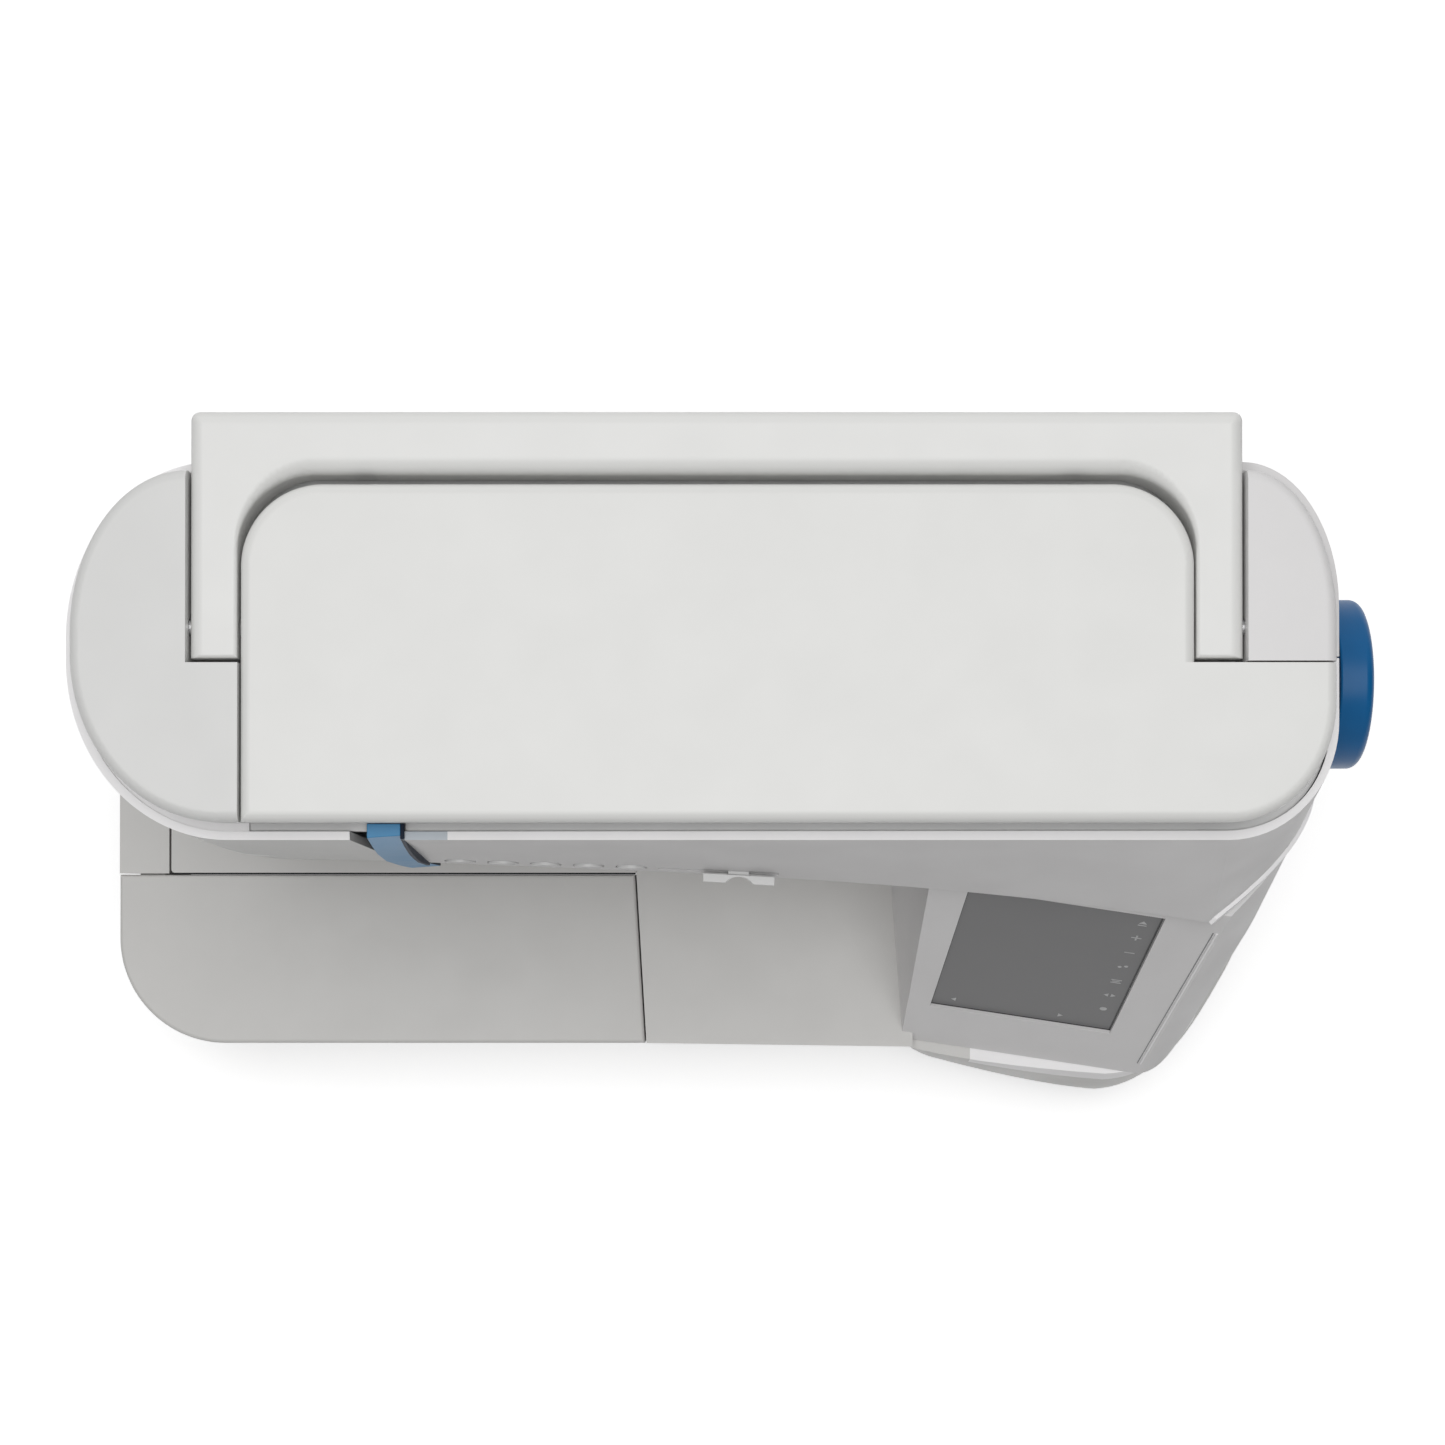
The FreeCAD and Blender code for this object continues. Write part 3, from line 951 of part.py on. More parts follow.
# ---------------------------------------------------------------- head mechanism
def head():
    """Needle bar, presser bar, take-up lever, lifter, threader, tension unit, lamp."""
    across, back = "needle_across", "shaft_back"
    bar = fuse("needle_bar_solid", rod("needle_bar_rod", "Z", (across, back, "needle_tip_up + 44"),
                                       "needle_bar_radius", 128),
               rod("needle_clamp", "Z", (across, back, "needle_tip_up + 36"), 4.6, 12))
    bar = cut("needle_bar_whole", bar, rod("needle_socket", "Z", (across, back, 120), 1, 20),
                           rod("clamp_screw_way", "X", (-116, back, "needle_tip_up + 42"), 1.5, 4))
    needle = fuse("needle_solid", rod("needle_shank", "Z", (across, back, "needle_tip_up + 30"), 1, 14),
                  rod("needle_blade", "Z", (across, back, "needle_tip_up + 4"), 0.45, 27),
                  rod("needle_point", "Z", (across, back, "needle_tip_up"), 0.08, 4, 0.45))
    node("needle", needle)
    screw = fuse("clamp_screw_solid", rod("clamp_screw_shank", "X", (-116, back, "needle_tip_up + 42"), 1.5, 5),
                 rod("clamp_screw_knob", "X", (-112.4, back, "needle_tip_up + 42"), 3.4, 5))
    node("needle_bar", group("needle_bar_group", bar, screw))
    presser = fuse("presser_solid", rod("presser_rod", "Z", (across, "presser_back", 104),
                                        "presser_bar_radius", 164),
                   box("foot_holder", (-124, 45.6, 92), (-116, 56, 112)),
                   box("presser_bracket", (-126, 46.8, 216), (-114, 55.2, 221)))
    foot_pin = rod("foot_pin_rod", "X", (-124.6, 49, 96), 1.5, 9.2)
    node("presser_bar", fuse("presser_with_pin", foot_pin, cut("presser_whole", presser, box("foot_fork", (-122, 44, 90), (-118, 57, 101)))))
    sole = box("foot_sole", (-131, 24, 84.1), (-109, 56, 85.9))
    sole_hole = box("foot_needle_way", (-124.5, 36, 82), (-115.5, 41, 88))
    toe_slot = box("foot_toe_slot", (-121.2, 23, 82), (-118.8, 37, 88))
    stem = box("foot_stem", (-121.8, 44.5, 85.5), (-118.2, 53, 99))
    sole = cut("foot_plate", fuse("foot_plate_solid", sole, stem), sole_hole, toe_slot,
               rod("foot_bore", "X", (-126, 49, 96), 1.55, 12))
    node("presser_foot", sole)
    lever = fuse("take_up_solid", rod("take_up_hub", "X", (-115.4, 16, 239), 5, 2.4),
                 moulded("take_up_arm", lever_plate(-115.4, 2.4, (16, 239), (-7, 263), 3.4, 2.4)))
    node("take_up_lever", cut("take_up_whole", lever,
                              rod("take_up_bore", "X", (-118, 16, 239), 2.55, 6),
                              rod("take_up_eye", "X", (-118, -6, 262), 1.1, 6)))
    lifter = fuse("lifter_solid", rod("lifter_hub", "Y", (-104, 92.8, 178), 5, 5),
                  moulded("lifter_arm", lever_plate_y(92.8, 5, (-104, 178), (-69, 158), 5, 4)))
    node("lifter_lever", cut("lifter_whole", lifter, rod("lifter_bore", "Y", (-104, 90, 178), 2.55, 10)))
    node("lever_pins", group("lever_pin_group", rod("lifter_pin_rod", "Y", (-104, 84, 178), 2.5, 14.2),
                             rod("take_up_pin_rod", "X", (-116.6, 16, 239), 2.5, 23)))
    node("needle_threader", fuse("threader_solid", rod("threader_rod", "Z", (-140, 44, 126), 1.8, 124),
                                 box("threader_tab", (-146, 40, 138), (-139, 48, 145)),
                                 box("threader_foot", (-141.5, 42, 126), (-134, 46, 131))))
    discs = fuse("tension_solid", rod("tension_axle", "X", (-90, -4, 240), 1.8, 12),
                 rod("tension_disc_one", "X", (-88, -4, 240), 9, 1.2),
                 rod("tension_disc_two", "X", (-85.4, -4, 240), 9, 1.2),
                 box("tension_plate", (-79, -12, 228), (-77, 5, 252)))
    node("tension_unit", discs)
    node("lamp_lens", box("lamp_lens_plate", (-76, 28, 197.4), (-56, 42, 199.6)))


def lever_plate(x, thick, hub, tip, hub_radius, tip_radius):
    """Flat lever in the YZ plane from a hub to a tip."""
    return plate_between(Vec(x, hub[0], hub[1]), Vec(x, tip[0], tip[1]), Vec(1, 0, 0), thick,
                         hub_radius, tip_radius)


def lever_plate_y(y, thick, hub, tip, hub_radius, tip_radius):
    """Flat lever in the XZ plane from a hub to a tip."""
    return plate_between(Vec(hub[0], y, hub[1]), Vec(tip[0], y, tip[1]), Vec(0, 1, 0), thick,
                         hub_radius, tip_radius)


def plate_between(start, end, axis, thick, start_radius, end_radius):
    """Tapered bar with a round tip."""
    forward = (end - start).normalize()
    side = axis.cross(forward)
    points = [start + side * start_radius, end + side * end_radius,
              end - side * end_radius, start - side * start_radius]
    edges = [line(points[0], points[1]),
             Part.Arc(points[1], end + forward * end_radius, points[2]).toShape(),
             line(points[2], points[3]), line(points[3], points[0])]
    return Part.Face(Part.Wire(edges)).extrude(axis * thick)


# ---------------------------------------------------------------- electrics and screws
def electrics(plate_screws):
    """Power supply, sockets, switch and the screws that hold the covers."""
    node("power_supply", box("supply_block", (20, -84, 14), (84, -20, 58)))
    inlet = cut("inlet_whole", box("inlet_block", (222, 62.3, 24.3), (239.6, 91.7, 45.7)),
                box("inlet_socket", (228, 66, 28), (241, 88, 42)))
    prongs = [box(f"inlet_prong_{i}", (227, y, 33), (238, y + 1.6, 38)) for i, y in enumerate((71, 81))]
    inlet = fuse("inlet_solid", inlet, *prongs)
    jack = cut("jack_whole", rod("jack_body", "X", (224, 48, 35), 4.1, 15.6),
               rod("jack_bore", "X", (226, 48, 35), 1.8, 20))
    node("foot_control_jack", jack)
    rocker = cut("rocker_whole", rod("rocker_drum", "Y", (237, 20.8, 35), 6.4, 18.4),
                 region("rocker_inside", (200, 10, 20), (235, 50, 50)))
    node("power_switch", rocker)
    frame = cut("switch_frame_whole", box("switch_frame_block", (226, 20.3, 28.3), (234, 39.7, 41.7)),
                box("switch_frame_way", (227.5, 21.5, 29.5), (236, 38.5, 40.5)))
    node("power_inlet", group("inlet_group", inlet, frame))
    screws = [fuse(f"cover_screw_{i}", rod(f"cover_screw_shank_{i}", "Y", (x, 101, z), 2, 9.2),
                   rod(f"cover_screw_head_{i}", "Y", (x, 110.1, z), 4, 1.6))
              for i, (x, z) in enumerate(REAR_SCREWS)]
    node("machine_screws", group("screw_group", *screws, *plate_screws))


def check_and_write():
    """Stop on any failed object, then write one STEP file for each node."""
    doc.recompute()
    for obj in doc.Objects:
        if "Invalid" in obj.State or "Error" in obj.State:
            raise RuntimeError(f"{obj.Name} ({obj.Label}) failed: {obj.State}")
    os.makedirs("parts", exist_ok=True)
    for old in os.listdir("parts"):
        if old.endswith(".step") and old[:-5] not in nodes:
            os.remove(os.path.join("parts", old))
    for name, obj in nodes.items():
        shape = obj.Shape
        if shape.isNull() or not shape.isValid() or not shape.Solids:
            raise RuntimeError(f"{name} has no valid solid")
        shape.exportStep(os.path.join("parts", name + ".step"))
    whole = Part.makeCompound([obj.Shape for obj in nodes.values()]).BoundBox
    print(len(nodes), "nodes; box", [round(v, 2) for v in (whole.XMin, whole.XMax, whole.YMin,
                                                           whole.YMax, whole.ZMin, whole.ZMax)])


low_face, low_rear = upper_shells()
cap_block, cap_hollow = top_caps(low_face, low_rear)
lid(cap_block, cap_hollow)
top_deck(handle())
front_details()
base()
screw_pair = free_arm()
extension_table()
chassis()
drive()
head()
electrics(screw_pair)
check_and_write()
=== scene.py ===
import json
from math import cos, pi, radians, sin, tan

import bmesh
import bpy
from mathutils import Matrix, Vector

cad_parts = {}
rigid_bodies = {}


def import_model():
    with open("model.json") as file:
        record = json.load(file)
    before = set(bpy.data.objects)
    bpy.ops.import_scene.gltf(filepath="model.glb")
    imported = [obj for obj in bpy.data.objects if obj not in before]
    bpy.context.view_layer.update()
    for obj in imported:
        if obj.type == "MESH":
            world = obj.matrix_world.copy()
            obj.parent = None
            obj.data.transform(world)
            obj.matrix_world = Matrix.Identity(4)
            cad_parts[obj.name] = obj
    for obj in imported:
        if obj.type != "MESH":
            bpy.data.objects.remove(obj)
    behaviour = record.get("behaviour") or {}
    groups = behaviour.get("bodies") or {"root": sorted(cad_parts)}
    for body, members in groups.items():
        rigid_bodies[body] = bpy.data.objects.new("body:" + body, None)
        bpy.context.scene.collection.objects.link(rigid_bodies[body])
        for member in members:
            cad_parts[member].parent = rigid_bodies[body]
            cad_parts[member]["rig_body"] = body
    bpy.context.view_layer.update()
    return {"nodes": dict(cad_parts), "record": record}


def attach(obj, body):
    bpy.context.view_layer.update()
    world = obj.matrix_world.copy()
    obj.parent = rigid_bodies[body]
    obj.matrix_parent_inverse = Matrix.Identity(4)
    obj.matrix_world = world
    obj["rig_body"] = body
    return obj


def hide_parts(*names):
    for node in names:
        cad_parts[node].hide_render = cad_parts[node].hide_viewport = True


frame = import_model()
SCENE = bpy.context.scene
SLOT_OF = {part["node"]: part["material_slot"] for part in frame["record"]["subparts"]}
BODY_OF = {name: obj["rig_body"] for name, obj in frame["nodes"].items()}


# ---------------------------------------------------------------- materials
MIX_FACTOR, MIX_FIRST, MIX_SECOND, MIX_RESULT = 0, 6, 7, 2      # a colour Mix node's sockets


class Tree:
    """Small helper round one material's node tree."""

    def __init__(self, name):
        self.material = bpy.data.materials.new(name)
        self.material.use_nodes = True
        self.nodes = self.material.node_tree.nodes
        self.links = self.material.node_tree.links
        self.shader = self.nodes["Principled BSDF"]
        self.coords = self.nodes.new("ShaderNodeTexCoord").outputs["Object"]

    def put(self, **values):
        for key, value in values.items():
            self.shader.inputs[key.replace("_", " ")].default_value = value
        return self

    def join(self, source, target):
        self.links.new(source, target)

    def noise(self, scale, detail=2.0, rough=0.5, stretch=None):
        node = self.nodes.new("ShaderNodeTexNoise")
        node.inputs["Scale"].default_value = scale
        node.inputs["Detail"].default_value = detail
        node.inputs["Roughness"].default_value = rough
        vector = self.coords
        if stretch:
            mapping = self.nodes.new("ShaderNodeMapping")
            mapping.inputs["Scale"].default_value = stretch
            self.join(vector, mapping.inputs["Vector"])
            vector = mapping.outputs["Vector"]
        self.join(vector, node.inputs["Vector"])
        return node.outputs["Fac"]

    def cells(self, scale, feature="F1"):
        node = self.nodes.new("ShaderNodeTexVoronoi")
        node.feature = feature
        node.inputs["Scale"].default_value = scale
        self.join(self.coords, node.inputs["Vector"])
        return node.outputs["Distance"]

    def spread(self, value, low, high, start=0.3, end=0.7):
        node = self.nodes.new("ShaderNodeMapRange")
        node.inputs["From Min"].default_value = start
        node.inputs["From Max"].default_value = end
        node.inputs["To Min"].default_value = low
        node.inputs["To Max"].default_value = high
        self.join(value, node.inputs["Value"])
        return node.outputs["Result"]

    def blend(self, factor, first, second):
        """Mix of two colours. The factor is a number or a socket, each colour a tuple or one."""
        node = self.nodes.new("ShaderNodeMix")
        node.data_type = "RGBA"
        for index, value in ((MIX_FIRST, first), (MIX_SECOND, second)):
            if isinstance(value, tuple):
                node.inputs[index].default_value = (*value, 1.0)
            else:
                self.join(value, node.inputs[index])
        if isinstance(factor, float):
            node.inputs[MIX_FACTOR].default_value = factor
        else:
            self.join(factor, node.inputs[MIX_FACTOR])
        return node.outputs[MIX_RESULT]

    def colour(self, source):
        self.join(source, self.shader.inputs["Base Color"])

    def roughness(self, source):
        self.join(source, self.shader.inputs["Roughness"])

    def bump(self, *layers):
        """layers: (height, strength, distance in metres), coarse first."""
        last = None
        for height, strength, distance in layers:
            node = self.nodes.new("ShaderNodeBump")
            node.inputs["Strength"].default_value = strength
            node.inputs["Distance"].default_value = distance
            self.join(height, node.inputs["Height"])
            if last is not None:
                self.join(last, node.inputs["Normal"])
            last = node.outputs["Normal"]
        self.join(last, self.shader.inputs["Normal"])


def shade(colour, factor):
    return tuple(channel * factor for channel in colour)


def moulded_plastic(name, colour, rough, grain=1500, depth=0.00003, strength=0.25, drift=0.02,
                    specular=0.5, edge=1.04):
    """Injection-moulded plastic: sparked grain, slow drift of tone, fine specks, rubbed edges."""
    tree = Tree(name).put(Specular_IOR_Level=specular)
    slow = tree.spread(tree.noise(7, 3), 0.0, 1.0)
    fine = tree.spread(tree.noise(160, 3), 0.0, 1.0)
    body = tree.blend(slow, shade(colour, 1 - drift), shade(colour, 1 + drift * 0.5))
    speck = tree.blend(fine, shade(colour, 1 - drift * 0.6), shade(colour, 1 + drift * 0.4))
    mottled = tree.blend(0.4, body, speck)
    worn = tree.nodes.new("ShaderNodeNewGeometry").outputs["Pointiness"]
    tree.colour(tree.blend(tree.spread(worn, 0.0, 0.6, 0.52, 0.62), mottled, shade(colour, edge)))
    tree.roughness(tree.spread(tree.noise(45, 3), rough - 0.04, rough + 0.05))
    tree.bump((tree.noise(55, 2), 0.05, 0.0002), (tree.cells(grain), strength, depth))
    return tree.material


def steel(name, colour, rough, stretch):
    """Bright metal, brushed along the axis that stretch makes small."""
    tree = Tree(name).put(Metallic=1.0)
    streak = tree.noise(900, 3, 0.6, stretch)
    cloud = tree.noise(40, 3)
    tree.colour(tree.blend(tree.spread(cloud, 0, 1), shade(colour, 0.93), colour))
    tree.roughness(tree.spread(streak, rough - 0.06, rough + 0.09))
    tree.bump((streak, 0.25, 0.00001))
    return tree.material


def rubber(name, colour):
    tree = Tree(name).put(Specular_IOR_Level=0.3)
    tree.colour(tree.blend(tree.spread(tree.noise(60, 4), 0, 1), shade(colour, 0.8),
                           shade(colour, 1.3)))
    tree.roughness(tree.spread(tree.noise(30), 0.62, 0.8))
    tree.bump((tree.noise(1800, 2), 0.5, 0.00004))
    return tree.material


def casting(name, colour):
    tree = Tree(name).put(Metallic=0.85)
    tree.colour(tree.blend(tree.spread(tree.noise(90, 4), 0, 1), shade(colour, 0.82), colour))
    tree.roughness(tree.spread(tree.noise(50, 3), 0.42, 0.6))
    tree.bump((tree.noise(420, 5, 0.65), 0.6, 0.00012))
    return tree.material


def board(name, colour):
    tree = Tree(name).put(Specular_IOR_Level=0.45)
    track = tree.cells(260, "DISTANCE_TO_EDGE")
    tree.colour(tree.blend(tree.spread(track, 1, 0, 0.04, 0.08), colour, shade(colour, 1.9)))
    tree.roughness(tree.spread(tree.noise(70), 0.3, 0.42))
    tree.bump((track, 0.4, 0.00004))
    return tree.material


def clear_plastic(name):
    tree = Tree(name).put(Alpha=0.42, IOR=1.5)
    tree.colour(tree.blend(tree.spread(tree.noise(25, 2), 0, 1), (0.62, 0.64, 0.65),
                           (0.72, 0.74, 0.75)))
    tree.roughness(tree.spread(tree.noise(90, 3), 0.05, 0.14))
    tree.bump((tree.noise(60, 2), 0.08, 0.0001))
    return tree.material


def touch_glass(name):
    tree = Tree(name).put(Specular_IOR_Level=0.22)
    smear = tree.noise(14, 2, 0.5, (1.0, 0.35, 1.0))
    tree.colour(tree.blend(tree.spread(smear, 0, 1), (0.178, 0.177, 0.18), (0.194, 0.193, 0.196)))
    tree.roughness(tree.spread(smear, 0.3, 0.36))
    tree.bump((tree.noise(900, 2), 0.03, 0.00001))
    return tree.material


def screen_print(name):
    tree = Tree(name).put(Specular_IOR_Level=0.3)
    tree.colour(tree.blend(tree.spread(tree.noise(400), 0, 1), (0.50, 0.50, 0.505),
                           (0.58, 0.58, 0.585)))
    tree.roughness(tree.spread(tree.noise(90), 0.4, 0.5))
    return tree.material


# One material for each of the record's slots.
MATERIALS = {
    "cover_white": moulded_plastic("cover_white", (0.765, 0.765, 0.748), 0.36, depth=0.00001,
                                   strength=0.12, drift=0.012),
    "handle_white": moulded_plastic("handle_white", (0.785, 0.785, 0.77), 0.38, depth=0.00001,
                                    strength=0.12, drift=0.012),
    "shell_white": moulded_plastic("shell_white", (0.745, 0.735, 0.735), 0.46),
    # The bed's slight warmth is its own colour; its tone darker than the shell's is painted shade
    # for the low bed.
    "bed_white": moulded_plastic("bed_white", (0.645, 0.637, 0.62), 0.44),
    "control_white": moulded_plastic("control_white", (0.74, 0.74, 0.735), 0.34, depth=0.00001),
    "wheel_blue": moulded_plastic("wheel_blue", (0.002, 0.112, 0.31), 0.36, drift=0.12,
                                  depth=0.00001, strength=0.15, specular=0.28, edge=1.4),
    "ribbon_blue": moulded_plastic("ribbon_blue", (0.055, 0.26, 0.5), 0.33, drift=0.08,
                                   depth=0.00001, strength=0.1, specular=0.3, edge=1.2),
    "control_grey": moulded_plastic("control_grey", (0.2, 0.205, 0.21), 0.48, drift=0.06),
    "inner_grey": moulded_plastic("inner_grey", (0.16, 0.165, 0.17), 0.55, drift=0.08,
                                  depth=0.00005, strength=0.4),
    "black_plastic": moulded_plastic("black_plastic", (0.014, 0.014, 0.016), 0.42, drift=0.2,
                                     depth=0.00004, strength=0.4, edge=1.6),
    "lamp_diffuser": moulded_plastic("lamp_diffuser", (0.82, 0.81, 0.76), 0.5, drift=0.02),
    "foot_rubber": rubber("foot_rubber", (0.02, 0.02, 0.02)),
    "belt_rubber": rubber("belt_rubber", (0.012, 0.012, 0.012)),
    "bright_steel": steel("bright_steel", (0.62, 0.62, 0.63), 0.24, (1.0, 1.0, 0.08)),
    "ground_steel": steel("ground_steel", (0.55, 0.55, 0.56), 0.3, (0.06, 1.0, 1.0)),
    "cast_alloy": casting("cast_alloy", (0.5, 0.51, 0.52)),
    "board_green": board("board_green", (0.012, 0.11, 0.045)),
    "clear_plastic": clear_plastic("clear_plastic"),
    "screen_glass": touch_glass("screen_glass"),
}
# Finishes of single faces and details, within a piece's own slot. The two lip finishes are a
# painted highlight and painted shade, and the ribbon's side finish is painted shade.
FINISHES = {
    "lip_painted_highlight": moulded_plastic("lip_painted_highlight", (0.93, 0.92, 0.925), 0.4, depth=0.00001,
                                 strength=0.1, drift=0.01),
    "face_white": moulded_plastic("face_white", (0.70, 0.70, 0.69), 0.38, depth=0.00001,
                                  strength=0.12, drift=0.012),
    "lip_painted_shade": moulded_plastic("lip_painted_shade", (0.50, 0.55, 0.60), 0.42, depth=0.00001,
                                 strength=0.1, drift=0.01),
    "ribbon_side_painted_shade": moulded_plastic("ribbon_side_painted_shade", (0.004, 0.012, 0.03), 0.5, drift=0.1,
                                   depth=0.00001, strength=0.1, specular=0.15, edge=1.3),
    "screen_mark": screen_print("screen_mark"),
}


# ---------------------------------------------------------------- mesh helpers
def finish_mesh(obj, width, segments=2):
    """Rounded edges and clean shading on a mesh with crisp edges."""
    obj.data.shade_smooth()
    if width:
        bevel = obj.modifiers.new("edges", "BEVEL")
        bevel.width = width
        bevel.segments = segments
        bevel.limit_method = "ANGLE"
        bevel.angle_limit = radians(30)
        bevel.use_clamp_overlap = True
        bevel.miter_outer = "MITER_ARC"
        bevel.harden_normals = False
    normals = obj.modifiers.new("shading", "WEIGHTED_NORMAL")
    normals.keep_sharp = True
    normals.weight = 60
    return obj


def clean_copy(node):
    """bmesh of a CAD node with its face borders merged and flat faces joined."""
    bm = bmesh.new()
    bm.from_mesh(frame["nodes"][node].data)
    bmesh.ops.remove_doubles(bm, verts=bm.verts, dist=2e-6)
    bmesh.ops.dissolve_limit(bm, angle_limit=radians(0.3), use_dissolve_boundaries=False,
                             verts=bm.verts, edges=bm.edges, delimit=set())
    return bm


def new_object(name, bm_or_mesh):
    if isinstance(bm_or_mesh, bmesh.types.BMesh):
        mesh = bpy.data.meshes.new(name)
        bm_or_mesh.to_mesh(mesh)
        bm_or_mesh.free()
    else:
        mesh = bm_or_mesh
    for layer in [a for a in mesh.attributes if a.name == "custom_normal"]:
        mesh.attributes.remove(layer)
    obj = bpy.data.objects.new(name, mesh)
    SCENE.collection.objects.link(obj)
    return obj


def dress(obj, slot, body, finish=None):
    """Slot and body of a piece, with the slot's material or another finish."""
    obj.data.materials.clear()
    obj.data.materials.append(FINISHES[finish] if finish else MATERIALS[slot])
    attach(obj, body)
    return obj


def refined(node, width, segments):
    """The CAD node again, with rounded edges."""
    obj = new_object(node + "_form", clean_copy(node))
    finish_mesh(obj, width, segments)
    dress(obj, SLOT_OF[node], BODY_OF[node])
    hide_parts(node)
    return obj


# Width of a node's rounded edges in metres, and how many segments round them.
USUAL_EDGE = (0.0003, 2)
EDGE = {
    "top_lid": (0.0004, 2), "face_cover": (0.0004, 2), "carry_handle": (0.0004, 2),
    "front_cover": (0.0004, 2), "rear_cover": (0.0004, 2), "base_cover": (0.0004, 2),
    "extension_table": (0.0004, 2), "accessory_lid": (0.00025, 2), "free_arm_cover": (0.00025, 2),
    "handwheel": (0.0008, 3), "needle": (0.00008, 1), "bobbin": (0.0002, 2),
    "needle_plate": (0.0002, 2), "feed_dog": (0.00015, 1),
}
FORMS = {name: refined(name, *EDGE.get(name, USUAL_EDGE)) for name in sorted(frame["nodes"])}
FORMS["face_cover"].data.materials[0] = FINISHES["face_white"]


def refinish(node, finish, chosen, cuts=()):
    """Another finish on the faces of a piece that chosen(middle, normal) picks."""
    mesh = FORMS[node].data
    if cuts:
        bm = bmesh.new()
        bm.from_mesh(mesh)
        for point, normal in cuts:
            bmesh.ops.bisect_plane(bm, geom=bm.verts[:] + bm.edges[:] + bm.faces[:], dist=1e-7,
                                   plane_co=point, plane_no=normal)
        bm.to_mesh(mesh)
        bm.free()
    mesh.materials.append(FINISHES[finish])
    index = len(mesh.materials) - 1
    for face in mesh.polygons:
        if chosen(face.center, face.normal):
            face.material_index = index


# The lip along the arm and head has a painted highlight on its upward faces; to the left of
# LIP_START those faces have painted shade instead.
LIP_START, LIP_FLOOR, LIP_ROOF = -0.0836, 0.276, 0.281
refinish("front_cover", "lip_painted_highlight",
         lambda c, n: n.z > 0.8 and c.z > LIP_FLOOR and c.x > LIP_START,
         cuts=(((LIP_START, 0, 0), (1, 0, 0)),))
refinish("front_cover", "lip_painted_shade",
         lambda c, n: n.z > 0.8 and c.z > LIP_FLOOR and c.x < LIP_START)
refinish("face_cover", "lip_painted_highlight", lambda c, n: n.z > 0.8 and LIP_FLOOR < c.z < LIP_ROOF)
# Painted highlight on the ledge along the upper front edge of the foot.
LEDGE_LEFT, LEDGE_RIGHT, LEDGE_REAR, LEDGE_FLOOR, LEDGE_ROOF = 0.118, 0.215, -0.085, 0.061, 0.0705
refinish("base_cover", "lip_painted_highlight",
         lambda c, n: n.z > 0.02 and LEDGE_FLOOR < c.z < LEDGE_ROOF
         and LEDGE_LEFT < c.x < LEDGE_RIGHT and c.y < LEDGE_REAR,
         cuts=(((LEDGE_LEFT, 0, 0), (1, 0, 0)), ((0, 0, LEDGE_FLOOR), (0, 0, 1)),
               ((LEDGE_RIGHT, 0, 0), (1, 0, 0))))
# Painted shade on the ribbon trim's side faces.
refinish("ribbon_trim", "ribbon_side_painted_shade", lambda c, n: abs(n.x) > 0.9)


# ---------------------------------------------------------------- small details
def walls(bm, low, high):
    """Side faces between two outlines with the same number of corners."""
    for i in range(len(low)):
        j = (i + 1) % len(low)
        bm.faces.new((low[i], low[j], high[j], high[i]))


def joined(name, outlines, normal, thickness, slot, body, finish=None):
    """Several thin plates of one kind as one piece."""
    bm = bmesh.new()
    for outline in outlines:
        low = [bm.verts.new(point) for point in outline]
        high = [bm.verts.new(point + normal * thickness) for point in outline]
        bm.faces.new(low)
        bm.faces.new(high)
        walls(bm, low, high)
    bmesh.ops.recalc_face_normals(bm, faces=bm.faces)
    return dress(finish_mesh(new_object(name, bm), 0.0), slot, body, finish)


def front_plane(node):
    """Middle, two edge directions, outward normal, half width and half height of a flat node."""
    mesh = frame["nodes"][node].data
    outer = max((p for p in mesh.polygons if p.normal.y < -0.3), key=lambda p: p.area)
    normal = outer.normal.copy()
    along = Vector((0, 0, 1)).cross(normal).normalized()
    if along.x < 0:
        along = -along
    upward = normal.cross(along) if normal.cross(along).z > 0 else along.cross(normal)
    level = max(v.co.dot(normal) for v in mesh.vertices)
    flat = [v.co for v in mesh.vertices if v.co.dot(normal) > level - 0.00005]
    u = [p.dot(along) for p in flat]
    v = [p.dot(upward) for p in flat]
    middle = (along * (max(u) + min(u)) / 2 + upward * (max(v) + min(v)) / 2 + normal * level)
    return middle, along, upward, normal, (max(u) - min(u)) / 2, (max(v) - min(v)) / 2


middle, along, upward, outward, half_w, half_h = front_plane("screen_glass")


def on_glass(u, v):
    """Point on the screen, in metres from its middle."""
    return middle + along * u + upward * v


def dot(u, v, radius, sides=16):
    return [on_glass(u + radius * cos(2 * pi * i / sides), v + radius * sin(2 * pi * i / sides))
            for i in range(sides)]


def bar(u, v, long, high):
    return [on_glass(u - long / 2, v - high / 2), on_glass(u + long / 2, v - high / 2),
            on_glass(u + long / 2, v + high / 2), on_glass(u - long / 2, v + high / 2)]


def arrow(u, v, size, right, up):
    """Triangle that points along (right, up), where one of the two is 0."""
    tail_u, tail_v = u - right * size * 0.6, v - up * size * 0.6
    wide_u, wide_v = abs(up) * size, abs(right) * size
    return [on_glass(tail_u - wide_u, tail_v - wide_v), on_glass(tail_u + wide_u, tail_v + wide_v),
            on_glass(u + right * size * 0.8, v + up * size * 0.8)]


